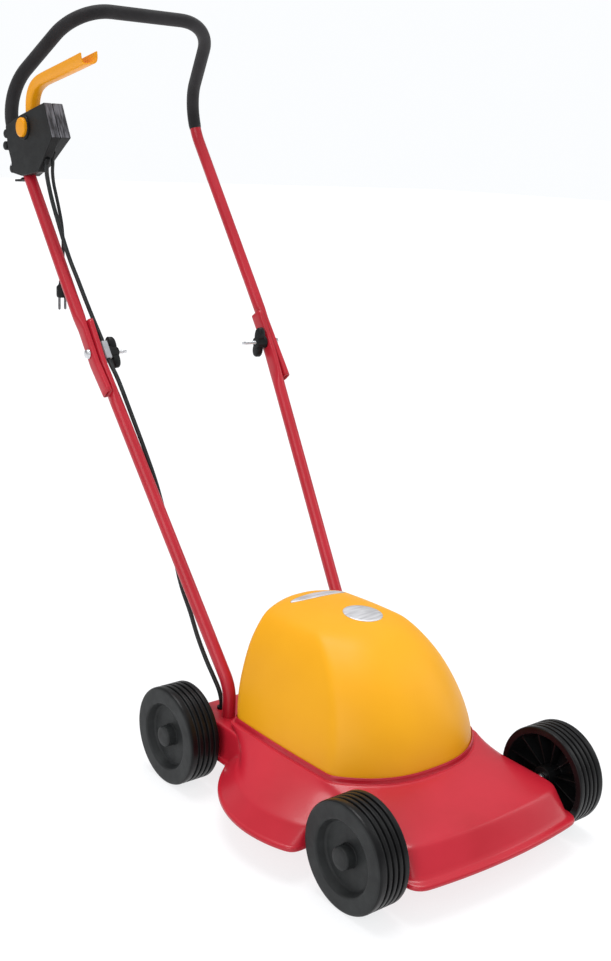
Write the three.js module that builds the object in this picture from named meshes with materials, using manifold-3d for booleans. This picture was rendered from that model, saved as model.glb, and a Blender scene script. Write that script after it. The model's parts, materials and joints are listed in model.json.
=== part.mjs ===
// Small electric rotary lawn mower, pushed by a fold-down handle.
//
// Millimetres, +Z up, the ground is z = 0. The front faces -Y, the operator stands at +Y,
// and the operator's right hand is at -X. Shapes are laid out from the point midway between
// the wheels; the whole group is then moved so that the origin is under the middle of its length.

import * as THREE from 'three';
import { mergeVertices } from 'three/addons/utils/BufferGeometryUtils.js';
import Module from 'manifold-3d';

const wasm = await Module();
wasm.setup();

// ---------------------------------------------------------------- driving dimensions
const MIDDLE_X = -13.55;           // middle of the whole width, from midway between the wheels
const MIDDLE_Y = 216.65;           // middle of the whole length, from the middle of the wheelbase
const GAP = 0.3;                   // play between touching pieces

const WHEEL_R = 70;
const WHEEL_FACETS = 32;
const WHEEL_OUT_X = 201.3;         // outer faces of the wheels
const WHEEL_W = 46.8;
const WHEEL_RECESS = 12.5;          // depth of the dish in the outer face
const HUB_CAP_R = 15;
const AXLE_Y = 193;
const AXLE_R = 6;
const AXLE_THREAD_R = 4;

const SHEET = 3;                   // deck and cowl wall
const RIM_Z = 41;
const SEAT_Z = 104;                // plate that carries the motor and the cowl
const SEAT_LIP_Z = 109.2;          // lip round the foot of the cowl
const NOSE_X = 150;
const NOSE_Y = -281;
const REAR_X = 150;
const REAR_Y = 240;
const SKIRT_RIGHT = 232;           // reach of the skirt on the side where the grass comes out
const SKIRT_LEFT = 178;
const SKIRT_B = 199;                // half length of the skirt
const REAR_TOP_FROM_Y = 90;        // the flat top behind the skirt begins here
const MOTOR_Y = -38;               // motor shaft and middle of the skirt
const MOTOR_HOLE_R = 56;

const COWL_TOP_Z = 265;
const COWL_BULGE = 3;              // how far the cowl's sides bow out

const TUBE_R = 9.5;
const TUBE_WALL = 1.5;
const TUBE_SIDES = 8;
const FLAT_HALF = 5;               // half thickness of the flattened tube ends
const FOOT = new THREE.Vector3(116.1, 157, 60);
const BOLT = new THREE.Vector3(163.2, 458.3, 574);   // fold bolt, where the flat ends meet
const BOLT_R = 3;
const GRIP_R = 10.6;
const BAR_Z = 1071.3;

const LEAD_R = 3.25;
const PIGTAIL_R = 2.6;

const BOX_OUT_X = -188;            // switch box, on the right-hand leg
const BOX_IN_X = -156.5;
const BOX_SPLIT_X = -174;
const BOX_WALL = 2.5;
const LEVER_PIVOT = { y: 612, z: 884 };
const BUTTON = { y: 631, z: 896, r: 14.4 };

// ---------------------------------------------------------------- materials
const paint = (color, roughness, metalness) =>
  new THREE.MeshStandardMaterial({ color, roughness, metalness });

const RED = paint(0xc02a38, 0.38, 0.1);
const YELLOW = paint(0xf0a51e, 0.5, 0);
const BLACK = paint(0x26282a, 0.6, 0);
const WHEEL_BLACK = paint(0x2c2e30, 0.65, 0);
const LEAD_BLACK = paint(0x303436, 0.55, 0);
const GREY = paint(0xc4c6ca, 0.45, 0);
const STEEL = paint(0xb9bcc0, 0.32, 0.9);
const DARK_STEEL = paint(0x6b6e72, 0.4, 0.85);
const ALUMINIUM = paint(0xa9adb1, 0.45, 0.8);
const BRASS = paint(0xc9a646, 0.35, 0.9);

// ---------------------------------------------------------------- scene helpers
const mower = new THREE.Group();
mower.position.set(-MIDDLE_X, -MIDDLE_Y, 0);

function part(name, geometry, material) {
  const mesh = new THREE.Mesh(geometry, material);
  mesh.name = name;
  mower.add(mesh);
  return mesh;
}

// The mirror image of a geometry in the plane x = 0, with its faces turned back outwards.
function mirrored(geometry) {
  const copy = geometry.clone().applyMatrix4(new THREE.Matrix4().makeScale(-1, 1, 1));
  return outward(copy);
}

// The same geometry with its corners merged and nothing but positions left.
function plain(geometry) {
  const bare = geometry.index ? geometry.toNonIndexed() : geometry.clone();
  for (const name of Object.keys(bare.attributes)) {
    if (name !== 'position') bare.deleteAttribute(name);
  }
  return mergeVertices(bare, 1e-4);
}

function signedVolume(geometry) {
  const p = geometry.attributes.position;
  const corner = [new THREE.Vector3(), new THREE.Vector3(), new THREE.Vector3()];
  let volume = 0;
  for (let i = 0; i < geometry.index.count; i += 3) {
    corner.forEach((v, k) => v.fromBufferAttribute(p, geometry.index.getX(i + k)));
    volume += corner[0].dot(corner[1].clone().cross(corner[2])) / 6;
  }
  return volume;
}

// The same closed surface with its faces pointing out.
function outward(geometry) {
  const solid = plain(geometry);
  if (signedVolume(solid) >= 0) return solid;
  const index = solid.index.array;
  for (let i = 0; i < index.length; i += 3) {
    [index[i + 1], index[i + 2]] = [index[i + 2], index[i + 1]];
  }
  return solid;
}

function toSolid(geometry) {
  const closed = outward(geometry);
  const vertProperties = Float32Array.from(closed.attributes.position.array);
  const triVerts = Uint32Array.from(closed.index.array);
  return new wasm.Manifold(new wasm.Mesh({ numProp: 3, vertProperties, triVerts }));
}

function fromSolid(solid) {
  const mesh = solid.getMesh();
  const geometry = new THREE.BufferGeometry();
  geometry.setAttribute('position', new THREE.BufferAttribute(mesh.vertProperties, 3));
  geometry.setIndex(new THREE.BufferAttribute(mesh.triVerts, 1));
  return geometry;
}

const cut = (body, ...tools) =>
  fromSolid(tools.reduce((solid, tool) => solid.subtract(toSolid(tool)), toSolid(body)));

const join = (...bodies) =>
  fromSolid(bodies.map(toSolid).reduce((solid, other) => solid.add(other)));

// Skin over a list of rings with the same number of points. An open list is capped at both
// ends; a closed one runs back to its first ring, as the skin of a shell with a hole does.
function loft(rings, closed = false) {
  const count = rings[0].length;
  const positions = rings.flat().flatMap((v) => [v.x, v.y, v.z]);
  const index = [];
  const strips = closed ? rings.length : rings.length - 1;
  for (let r = 0; r < strips; r++) {
    const a = r * count;
    const b = ((r + 1) % rings.length) * count;
    for (let i = 0; i < count; i++) {
      const j = (i + 1) % count;
      index.push(a + i, a + j, b + j, a + i, b + j, b + i);
    }
  }
  if (!closed) {
    for (const r of [0, rings.length - 1]) {
      const centre = new THREE.Vector3();
      rings[r].forEach((v) => centre.addScaledVector(v, 1 / count));
      const hub = positions.length / 3;
      positions.push(centre.x, centre.y, centre.z);
      for (let i = 0; i < count; i++) {
        const j = (i + 1) % count;
        if (r === 0) index.push(hub, r * count + j, r * count + i);
        else index.push(hub, r * count + i, r * count + j);
      }
    }
  }
  const geometry = new THREE.BufferGeometry();
  geometry.setAttribute('position', new THREE.Float32BufferAttribute(positions, 3));
  geometry.setIndex(index);
  return outward(geometry);
}

// A round piece turned about a line along X or Z, from [radius, distance] pairs.
function turned(profile, segments, axis, x, y, z) {
  const points = profile.map(([r, d]) => new THREE.Vector2(r, d));
  const geometry = new THREE.LatheGeometry(points, segments);
  if (axis === 'x') geometry.rotateZ(-Math.PI / 2);
  if (axis === 'z') geometry.rotateX(Math.PI / 2);
  geometry.translate(x, y, z);
  return outward(geometry);
}

// A plain cylinder between two distances along X or Z.
const rod = (radius, from, to, segments, axis, x, y, z) =>
  turned([[0, from], [radius, from], [radius, to], [0, to]], segments, axis, x, y, z);

// A ring with a bore, between two distances along X or Z.
const ring = (outer, bore, from, to, segments, axis, x, y, z) =>
  turned([[bore, from], [outer, from], [outer, to], [bore, to], [bore, from]], segments, axis, x, y, z);

function block(x0, x1, y0, y1, z0, z1) {
  const box = new THREE.BoxGeometry(x1 - x0, y1 - y0, z1 - z0);
  return outward(box.translate((x0 + x1) / 2, (y0 + y1) / 2, (z0 + z1) / 2));
}

// A flat outline in the YZ plane, given thickness from x0 to x1.
function slab(outline, x0, x1) {
  const shape = new THREE.Shape(outline.map(([y, z]) => new THREE.Vector2(y, z)));
  const geometry = new THREE.ExtrudeGeometry(shape, { depth: x1 - x0, bevelEnabled: false });
  geometry.applyMatrix4(new THREE.Matrix4().makeBasis(
    new THREE.Vector3(0, 1, 0), new THREE.Vector3(0, 0, 1), new THREE.Vector3(1, 0, 0)));
  return outward(geometry.translate(x0, 0, 0));
}

// Straight runs through the corners, each turned on its own bend radius; a radius of 0 is
// only a station on a straight run.
function bentPath(corners, radii, arcSteps) {
  const path = [corners[0].clone()];
  for (let i = 1; i < corners.length - 1; i++) {
    const corner = corners[i];
    if (radii[i - 1] === 0) {
      path.push(corner.clone());
      continue;
    }
    const back = corners[i - 1].clone().sub(corner).normalize();
    const on = corners[i + 1].clone().sub(corner).normalize();
    const half = back.angleTo(on) / 2;
    const radius = radii[i - 1];
    const centre = back.clone().add(on).normalize().multiplyScalar(radius / Math.sin(half)).add(corner);
    const from = back.multiplyScalar(radius / Math.tan(half)).add(corner).sub(centre);
    const to = on.multiplyScalar(radius / Math.tan(half)).add(corner).sub(centre);
    const turn = from.angleTo(to);
    for (let s = 0; s <= arcSteps; s++) {
      const t = s / arcSteps;
      path.push(centre.clone()
        .addScaledVector(from, Math.sin((1 - t) * turn) / Math.sin(turn))
        .addScaledVector(to, Math.sin(t * turn) / Math.sin(turn)));
    }
  }
  path.push(corners[corners.length - 1].clone());
  return path;
}

// Frames carried along a path without twist; the first side vector points along X.
function pathFrames(path) {
  const side = new THREE.Vector3(1, 0, 0);
  return path.map((point, i) => {
    const before = path[Math.max(i - 1, 0)];
    const after = path[Math.min(i + 1, path.length - 1)];
    const along = after.clone().sub(before).normalize();
    side.addScaledVector(along, -side.dot(along)).normalize();
    return { point, side: side.clone(), up: along.clone().cross(side) };
  });
}

// The rings of a tube on its frames. halves(point) gives the half sizes along side and up.
function tubeRings(frames, halves, inset = 0) {
  return frames.map(({ point, side, up }) => {
    const [a, b] = halves(point);
    const points = [];
    for (let i = 0; i < TUBE_SIDES; i++) {
      const angle = (i + 0.5) * 2 * Math.PI / TUBE_SIDES;
      points.push(point.clone()
        .addScaledVector(side, (a - inset) * Math.cos(angle))
        .addScaledVector(up, (b - inset) * Math.sin(angle)));
    }
    return points;
  });
}

const hollowTube = (frames, halves, wall) =>
  loft([...tubeRings(frames, halves), ...tubeRings(frames, halves, wall).reverse()], true);

const solidTube = (frames, radius) => loft(tubeRings(frames, () => [radius, radius]));

// A solid round cord along a smooth curve through its points.
function cord(points, radius, steps) {
  const curve = new THREE.CatmullRomCurve3(points.map((p) => new THREE.Vector3(...p)), false, 'centripetal');
  const section = new THREE.Shape().absarc(0, 0, radius, 0, 2 * Math.PI);
  return outward(new THREE.ExtrudeGeometry(section, {
    steps, extrudePath: curve, curveSegments: 4, bevelEnabled: false,
  }));
}

// ---------------------------------------------------------------- deck
// Half outlines run from the middle of the front, past +X, to the middle of the back;
// every ring has the same points, so rings of different size can be skinned together.
const NOSE_STEPS = 4;
const CORNER_STEPS = 3;
const SKIRT_STEPS = 10;

// A closed outline from two halves, both drawn on the left, the second to be mirrored.
function joinHalves(left, right) {
  const other = right.slice(1, -1).reverse().map((p) => new THREE.Vector3(-p.x, p.y, p.z));
  return [...left, ...other];
}

const closeOutline = (half) => joinHalves(half, half);

function corner(points, cx, cy, radius, start, z) {
  for (let i = 1; i <= CORNER_STEPS; i++) {
    const angle = start + i * Math.PI / 2 / CORNER_STEPS;
    points.push(new THREE.Vector3(cx + radius * Math.cos(angle), cy + radius * Math.sin(angle), z));
  }
}

// Half of the deck's plan at one level, from how far it lies inside the rim, side by side.
function deckHalf({ nose, skirt, side, rear, zNose, zSkirt, zRear }, reach) {
  const half = [];
  const noseX = NOSE_X - side;
  const noseY = NOSE_Y + nose;
  const bow = 10;
  const cornerR = 24;
  for (let i = 0; i < NOSE_STEPS; i++) {
    const x = (noseX - cornerR) * i / (NOSE_STEPS - 1);
    half.push(new THREE.Vector3(x, noseY + bow * (x / noseX) ** 2, zNose));
  }
  corner(half, noseX - cornerR, noseY + bow + cornerR - 2, cornerR, -Math.PI / 2, zNose);
  const frontWellY = -117 + skirt * 0.1;
  half.push(new THREE.Vector3(noseX, frontWellY, zNose));
  const a = reach - skirt;
  const b = SKIRT_B - skirt;
  const rearX = REAR_X - side;
  const from = Math.asin((frontWellY - MOTOR_Y) / b);
  const to = Math.acos((rearX + 3) / a);
  for (let i = 0; i <= SKIRT_STEPS; i++) {
    const t = from + (to - from) * i / SKIRT_STEPS;
    half.push(new THREE.Vector3(a * Math.cos(t), MOTOR_Y + b * Math.sin(t), zSkirt));
  }
  const rearWellY = MOTOR_Y + b * Math.sin(to) + 2;
  half.push(new THREE.Vector3(rearX, rearWellY, zRear));
  const rearY = REAR_Y - rear;
  const rearR = 18;
  half.push(new THREE.Vector3(rearX, rearY - rearR, zRear));
  corner(half, rearX - rearR, rearY - rearR, rearR, 0, zRear);
  half.push(new THREE.Vector3(0, rearY, zRear));
  return half;
}

// The skirt bulges far out on the right only.
const deckRing = (level) => joinHalves(deckHalf(level, SKIRT_LEFT), deckHalf(level, SKIRT_RIGHT));

// The outline of the cowl's foot, widened by a margin, with as many points as a deck ring.
function seatRing(margin, z) {
  const half = [];
  const front = { x: 128 + margin, y: -84 - margin * 0.6, tip: -142 - margin };
  const back = { x: 128 + margin, y: 124 + margin * 0.3, tip: 153 + margin };
  const frontSteps = NOSE_STEPS + CORNER_STEPS;
  for (let i = 0; i < frontSteps; i++) {
    const s = i / frontSteps;
    half.push(new THREE.Vector3(front.x * s, front.tip + (front.y - front.tip) * s ** 2.6, z));
  }
  half.push(new THREE.Vector3(front.x, front.y, z));
  for (let i = 0; i <= SKIRT_STEPS; i++) {
    const t = (i + 1) / (SKIRT_STEPS + 2);
    const bulge = COWL_BULGE * Math.sin(Math.PI * t);
    half.push(new THREE.Vector3(front.x + bulge, front.y + (back.y - front.y) * t, z));
  }
  half.push(new THREE.Vector3(back.x, back.y, z));
  const backSteps = CORNER_STEPS + 2;
  for (let i = 1; i <= backSteps; i++) {
    const s = 1 - i / backSteps;
    half.push(new THREE.Vector3(back.x * s, back.tip + (back.y - back.tip) * s ** 2.6, z));
  }
  return closeOutline(half);
}

// Part of the way from the shoulder to the seat; behind the skirt it stays down on the flat
// rear top, so that the seat stands up from it as a step.
function stepRing(shoulder, seat, rearZ) {
  return shoulder.map((p, i) => {
    const point = p.clone().lerp(seat[i], 0.85);
    return p.y > REAR_TOP_FROM_Y ? point.setZ(rearZ) : point;
  });
}

function circleRing(like, radius, z) {
  return like.map((p) => {
    const angle = Math.atan2(p.y - MOTOR_Y, p.x);
    return new THREE.Vector3(radius * Math.cos(angle), MOTOR_Y + radius * Math.sin(angle), z);
  });
}

function deckShell() {
  const level = (nose, skirt, side, rear, zNose, zSkirt, zRear) =>
    deckRing({ nose, skirt, side, rear, zNose, zSkirt, zRear });
  const flat = (inset, z) => level(inset, inset, inset, inset, z, z, z);
  const shoulder = level(33, 23, 5, 27, 82, 70, 93);
  const seatEdge = seatRing(9, SEAT_Z - SHEET);
  const outer = [
    flat(3, RIM_Z),
    flat(0, RIM_Z + 3.5),
    flat(3, RIM_Z + 7.5),
    shoulder,
    stepRing(shoulder, seatEdge, 94.5),
    seatEdge,
    seatRing(2.7, SEAT_Z - SHEET + 0.5),
    seatRing(2.3, SEAT_LIP_Z),
    seatRing(0.6, SEAT_LIP_Z),
    seatRing(0.5, SEAT_Z),
    circleRing(seatEdge, MOTOR_HOLE_R, SEAT_Z),
  ];
  const underShoulder = level(33 + SHEET, 23 + SHEET, 5 + SHEET, 27 + SHEET,
    82 - SHEET, 70 - SHEET, 93 - SHEET);
  const underSeat = seatRing(9 - SHEET, SEAT_Z - 2 * SHEET);
  const inner = [
    flat(3 + SHEET, RIM_Z),
    underShoulder,
    stepRing(underShoulder, underSeat, 94.5 - SHEET),
    underSeat,
    circleRing(seatEdge, MOTOR_HOLE_R, SEAT_Z - SHEET),
  ];
  const holes = [];
  for (const side of [-1, 1]) {
    for (const y of [-AXLE_Y, AXLE_Y]) {
      holes.push(rod(AXLE_THREAD_R + GAP, -20, 20, 12, 'x', side * (NOSE_X - 5), y, WHEEL_R));
    }
    holes.push(rod(TUBE_R + GAP, 85, 118, 16, 'z', side * FOOT.x, FOOT.y, 0));
  }
  holes.push(rod(6.5, 80, 100, 12, 'z', LEAD_ENTRY.x, LEAD_ENTRY.y, 0));
  return cut(loft([...outer, ...inner.reverse()], true), ...holes);
}

// ---------------------------------------------------------------- cowl
const COWL_SIDE_STEPS = 4;
const COWL_BOW_STEPS = 5;

// One level of the cowl: a bowed front between two soft creases, flat sides, a bowed back.
function cowlRing({ z, tip, crease, rear, back }, inset = 0) {
  const half = [];
  const [cx, cy] = [crease[0] - inset, crease[1] + inset * 0.5];
  const [rx, ry] = [rear[0] - inset, rear[1] - inset * 0.5];
  for (let i = 0; i < COWL_BOW_STEPS; i++) {
    const s = i / COWL_BOW_STEPS;
    half.push(new THREE.Vector3(cx * s, tip + inset + (cy - tip - inset) * s ** 2.6, z));
  }
  for (let i = 0; i <= COWL_SIDE_STEPS; i++) {
    const t = i / COWL_SIDE_STEPS;
    const bulge = COWL_BULGE * Math.sin(Math.PI * t);
    half.push(new THREE.Vector3(cx + (rx - cx) * t + bulge, cy + (ry - cy) * t, z));
  }
  for (let i = 1; i <= COWL_BOW_STEPS; i++) {
    const s = 1 - i / COWL_BOW_STEPS;
    half.push(new THREE.Vector3(rx * s, back - inset + (ry - back + inset) * s ** 2.6, z));
  }
  return closeOutline(half);
}

function motorCowl() {
  const levels = [
    { z: SEAT_Z + 0.5 + GAP, tip: -142, crease: [128, -84], rear: [128, 123], back: 152 },
    { z: 130, tip: -137.5, crease: [124.3, -80.5], rear: [124.5, 130], back: 157.5 },
    { z: 152, tip: -129.5, crease: [118.8, -75], rear: [119.2, 134], back: 160.5 },
    { z: 193, tip: -104, crease: [105.8, -57], rear: [107, 136.5], back: 161.5 },
    { z: 226, tip: -71, crease: [93.2, -29.5], rear: [94.2, 134.5], back: 158 },
    { z: 250, tip: -34, crease: [79.3, 6], rear: [75, 133], back: 154.5 },
    { z: COWL_TOP_Z - 4, tip: 8, crease: [52, 38], rear: [48, 125], back: 147 },
  ];
  const crown = { z: COWL_TOP_Z, tip: 60, crease: [14, 84], rear: [14, 100], back: 114 };
  const outer = [...levels, crown].map((level) => cowlRing(level));
  const inner = levels.map((level, i) => {
    const drop = i === 0 ? 0 : SHEET * (i < 6 ? 0.7 : 1.2);
    return cowlRing({ ...level, z: level.z - drop }, SHEET);
  });
  return loft([...inner.reverse(), ...outer]);
}

// ---------------------------------------------------------------- motor and blade
function motor() {
  part('motor_flange', turned([
    [11.4, SEAT_Z + GAP], [72, SEAT_Z + GAP], [72, SEAT_Z + 6], [54, SEAT_Z + 6], [54, SEAT_Z + 10],
    [20, SEAT_Z + 10], [20, SEAT_Z + 17], [11.4, SEAT_Z + 17], [11.4, SEAT_Z + GAP],
  ], 24, 'z', 0, MOTOR_Y, 0), ALUMINIUM);
  part('motor_stator', ring(52, 32, 114.5, 190, 24, 'z', 0, MOTOR_Y, 0), DARK_STEEL);
  part('motor_top_bracket', turned([
    [11.4, 198], [18, 198], [18, 191], [24, 190.4], [52, 190.4], [52, 196], [26, 205], [11.4, 205], [11.4, 198],
  ], 24, 'z', 0, MOTOR_Y, 0), ALUMINIUM);
  part('lower_bearing', ring(11, 6.4, 105, 114, 16, 'z', 0, MOTOR_Y, 0), STEEL);
  part('upper_bearing', ring(11, 6.4, 198.4, 204.6, 16, 'z', 0, MOTOR_Y, 0), STEEL);
  part('motor_shaft', rod(6, 62, 224, 12, 'z', 0, MOTOR_Y, 0), STEEL);
  part('armature', ring(30, 6.3, 123, 186, 20, 'z', 0, MOTOR_Y, 0), DARK_STEEL);
  part('cooling_fan', coolingFan(), BLACK);
  part('blade_hub', ring(24, 6.3, 67, 82, 20, 'z', 0, MOTOR_Y, 0), ALUMINIUM);
  part('blade', blade(), DARK_STEEL);
  part('blade_bolt', join(
    rod(12, 56, 58.7, 12, 'z', 0, MOTOR_Y, 0),
    rod(9, 50, 56.5, 6, 'z', 0, MOTOR_Y, 0),
    rod(4, 58, 61.7, 12, 'z', 0, MOTOR_Y, 0)), STEEL);
  for (const [name, side] of [['motor_bolt_right', -1], ['motor_bolt_left', 1]]) {
    part(name, rod(5, SEAT_Z + 6 + GAP, SEAT_Z + 10, 6, 'z', side * 64, MOTOR_Y, 0), STEEL);
  }
}

function coolingFan() {
  const vanes = [];
  const count = 6;
  for (let i = 0; i < count; i++) {
    const vane = block(10, 27, -1, 1, 209, 220);
    vanes.push(vane.rotateZ(i * 2 * Math.PI / count).translate(0, MOTOR_Y, 0));
  }
  return join(ring(28, 6.3, 207, 210, 24, 'z', 0, MOTOR_Y, 0),
    ring(11, 6.3, 209, 221, 24, 'z', 0, MOTOR_Y, 0), ...vanes);
}

// A flat bar with its trailing edges turned up towards the ends to throw the grass.
function blade() {
  const reach = 142;
  const stations = [-reach, -120, -95, -30, 30, 95, 120, reach];
  const rings = stations.map((x) => {
    const lift = Math.max(0, (Math.abs(x) - 95) / (reach - 95)) * 14;
    const trail = Math.sign(x) * 24;
    const points = [[-24, 59], [24, 59], [24, 62], [-24, 62]];
    return points.map(([y, z]) =>
      new THREE.Vector3(x, MOTOR_Y + y, z + (Math.sign(y) === Math.sign(trail) ? lift : 0)));
  });
  return cut(loft(rings), rod(4 + GAP, 50, 70, 12, 'z', 0, MOTOR_Y, 0));
}

// ---------------------------------------------------------------- wheels
function wheels() {
  const rim = WHEEL_R / Math.cos(Math.PI / WHEEL_FACETS);
  const boreR = AXLE_R + GAP;
  const inFace = WHEEL_OUT_X - WHEEL_W;
  const floor = WHEEL_OUT_X - WHEEL_RECESS;
  const wheel = turned([
    [boreR, inFace + 3], [14, inFace + 3], [14, inFace + 30], [57, inFace + 30], [61, inFace],
    [rim, inFace], [rim, WHEEL_OUT_X - 1.5], [rim - 1.5, WHEEL_OUT_X], [47.5, WHEEL_OUT_X],
    [43, floor], [boreR, floor], [boreR, inFace + 3],
  ], WHEEL_FACETS, 'x', 0, 0, 0);
  // Half a facet's turn puts a flat facet on the ground.
  wheel.rotateX(Math.PI / WHEEL_FACETS);
  const cap = turned([
    [0, floor + 8], [11, floor + 8], [11, floor + GAP], [HUB_CAP_R, floor + GAP],
    [HUB_CAP_R, WHEEL_OUT_X + 1.5], [HUB_CAP_R - 2, WHEEL_OUT_X + 3.5], [0, WHEEL_OUT_X + 3.5],
  ], 16, 'x', 0, 0, 0);
  const axle = join(
    rod(AXLE_R, inFace - 2, floor + 0.5, 12, 'x', 0, 0, 0),
    rod(8.5, floor + GAP, floor + 4.5, 6, 'x', 0, 0, 0),
    rod(AXLE_THREAD_R, NOSE_X - 20, inFace, 12, 'x', 0, 0, 0));
  const ends = [['front', -AXLE_Y], ['rear', AXLE_Y]];
  for (const [end, y] of ends) {
    for (const side of ['right', 'left']) {
      const shape = (geometry) => (side === 'left' ? geometry.clone() : mirrored(geometry));
      part(`wheel_${end}_${side}`, shape(wheel), WHEEL_BLACK).position.set(0, y, WHEEL_R);
      part(`hub_cap_${end}_${side}`, shape(cap), WHEEL_BLACK).position.set(0, y, WHEEL_R);
      part(`axle_${end}_${side}`, shape(axle), STEEL).position.set(0, y, WHEEL_R);
    }
  }
}

// ---------------------------------------------------------------- handle
// Half sizes of a handle tube: round, but flattened and spread between the heights low and high.
function handleHalves(low, high, blend, spread) {
  const round = [TUBE_R, TUBE_R];
  const flat = [FLAT_HALF, TUBE_R * spread];
  return (point) => {
    const depth = Math.min(point.z - low, high - point.z);
    const t = THREE.MathUtils.clamp(depth / blend + 1, 0, 1);
    return round.map((size, k) => size + (flat[k] - size) * t);
  };
}

function lowerTube() {
  const flatX = BOLT.x - FLAT_HALF - GAP / 2;
  const path = bentPath([
    FOOT,
    new THREE.Vector3(FOOT.x, FOOT.y, 138),
    new THREE.Vector3(152.6, 410.5, 505),
    new THREE.Vector3(155.1, 427.8, 530),
    new THREE.Vector3(flatX, 448.5, 560),
    new THREE.Vector3(flatX, 488, 617),
  ], [60, 0, 0, 0], 3);
  const body = hollowTube(pathFrames(path), handleHalves(530, 700, 25, 1.3), TUBE_WALL);
  return cut(body, rod(BOLT_R + GAP, -30, 30, 12, 'x', BOLT.x, BOLT.y, BOLT.z));
}

// The right-hand leg's centre line above the fold, from its height.
const LEG = { x: 168, y: 448.35, z: 560, slopeX: 0.017, slopeY: 0.742 };
const legPoint = (z) => new THREE.Vector3(
  LEG.x + LEG.slopeX * (z - LEG.z), LEG.y + LEG.slopeY * (z - LEG.z), z);
const BAR_CORNER = new THREE.Vector3(120, 587.5, BAR_Z);

function upperCorners() {
  const flatX = BOLT.x + FLAT_HALF + GAP / 2;
  const tail = new THREE.Vector3(flatX - 2.8, 415, 520.5);
  const leg = [tail, legPoint(560), legPoint(606), legPoint(655), legPoint(940.7), BAR_CORNER];
  leg.slice(1, 3).forEach((p) => p.setX(flatX));
  const right = leg.map((p) => new THREE.Vector3(-p.x, p.y, p.z));
  return [...right, ...leg.reverse()];
}

// Frames of the U: four stations up the right-hand leg, five in each of the four bends,
// and four down the left-hand leg.
const LEG_BENDS = [0, 0, 0, 73, 76];
const U_FRAMES = pathFrames(bentPath(upperCorners(), [...LEG_BENDS, ...LEG_BENDS.slice().reverse()], 4));
const BOX_FRAMES = U_FRAMES.slice(3, 9);
const SLEEVE_FRAMES = U_FRAMES.slice(4, 23);

function upperTube() {
  const body = hollowTube(U_FRAMES, handleHalves(400, 606, 28, 1.1), TUBE_WALL);
  return cut(body, rod(BOLT_R + GAP, -400, 400, 12, 'x', 0, BOLT.y, BOLT.z));
}

// The sleeve covers the bar and both upper bends; on the right-hand leg it ends in the box.
const gripSleeve = () =>
  hollowTube(SLEEVE_FRAMES, () => [GRIP_R, GRIP_R], GRIP_R - TUBE_R - GAP);

function handle() {
  const rightAndLeft = [['right', mirrored], ['left', (geometry) => geometry.clone()]];
  const tube = lowerTube();
  const socket = cut(block(98, 133, 140, 174, 58, 86),
    rod(TUBE_R + GAP, 50, 100, 16, 'z', FOOT.x, FOOT.y, 0),
    rod(3 + GAP, -30, 30, 12, 'x', FOOT.x, FOOT.y, 72));
  const socketBolt = join(rod(3, -20, 6, 12, 'x', FOOT.x, FOOT.y, 72),
    rod(6, 18, 22, 6, 'x', FOOT.x, FOOT.y, 72), rod(3, 0, 20, 12, 'x', FOOT.x, FOOT.y, 72));
  const drilledTube = cut(tube, rod(3 + GAP, -30, 30, 12, 'x', FOOT.x, FOOT.y, 72));
  const boltEnd = BOLT.x - 54;
  const bolt = join(rod(BOLT_R, boltEnd, BOLT.x + 12, 12, 'x', 0, BOLT.y, BOLT.z),
    turned([[0, BOLT.x + 10.6], [7.5, BOLT.x + 10.6], [6.5, BOLT.x + 14], [0, BOLT.x + 15.6]], 16,
      'x', 0, BOLT.y, BOLT.z));
  for (const [side, shape] of rightAndLeft) {
    part(`tube_lower_${side}`, shape(drilledTube), RED);
    part(`tube_socket_${side}`, shape(socket), DARK_STEEL);
    part(`socket_bolt_${side}`, shape(socketBolt), STEEL);
    part(`fold_bolt_${side}`, shape(bolt), STEEL);
  }
  part('tube_upper', upperTube(), RED);
  part('grip_sleeve', gripSleeve(), BLACK);
  part('wing_knob_right', mirrored(wingKnob(143.2, 60)), BLACK);
  part('wing_knob_left', wingKnob(152.6, 100), BLACK);
  part('lead_clip', leadClip(), GREY);
}

// A knob with two wings on the inboard end of the fold bolt, turned to an angle from level.
function wingKnob(face, degrees) {
  const wings = new THREE.Shape();
  wings.absarc(0, 18, 8, 0, Math.PI);
  wings.absarc(0, -18, 8, Math.PI, 2 * Math.PI);
  const bow = new THREE.ExtrudeGeometry(wings, { depth: 11, bevelEnabled: false, curveSegments: 5 });
  bow.rotateY(Math.PI / 2);
  bow.rotateX(THREE.MathUtils.degToRad(degrees));
  bow.translate(face - 16.5, BOLT.y, BOLT.z);
  const hub = turned([[0, face - 18], [8.5, face - 18], [11, face - 4], [11, face], [0, face]], 16,
    'x', 0, BOLT.y, BOLT.z);
  return cut(join(hub, bow), rod(BOLT_R + GAP, face - 50, face + 5, 12, 'x', 0, BOLT.y, BOLT.z));
}

// ---------------------------------------------------------------- leads
const LEAD_ENTRY = new THREE.Vector3(-110, 184, 93);
const CLIP = { x: -148.3, from: -152.8, to: -143.6, front: 12.5, back: 8, half: 14 };
const LEAD_UPPER = [
  [-181, 570.6, 848], [-180.5, 573, 838], [-177, 577, 822], [-172, 573, 792], [-168, 563.5, 763.5],
  [-165, 550.6, 734], [-162, 535.6, 705], [-159, 517, 677], [-154.5, 502, 649], [-149.3, 486.5, 620],
  [CLIP.x, 460.4, 589.9], [CLIP.x, 442.8, 566.2],
];
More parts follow.
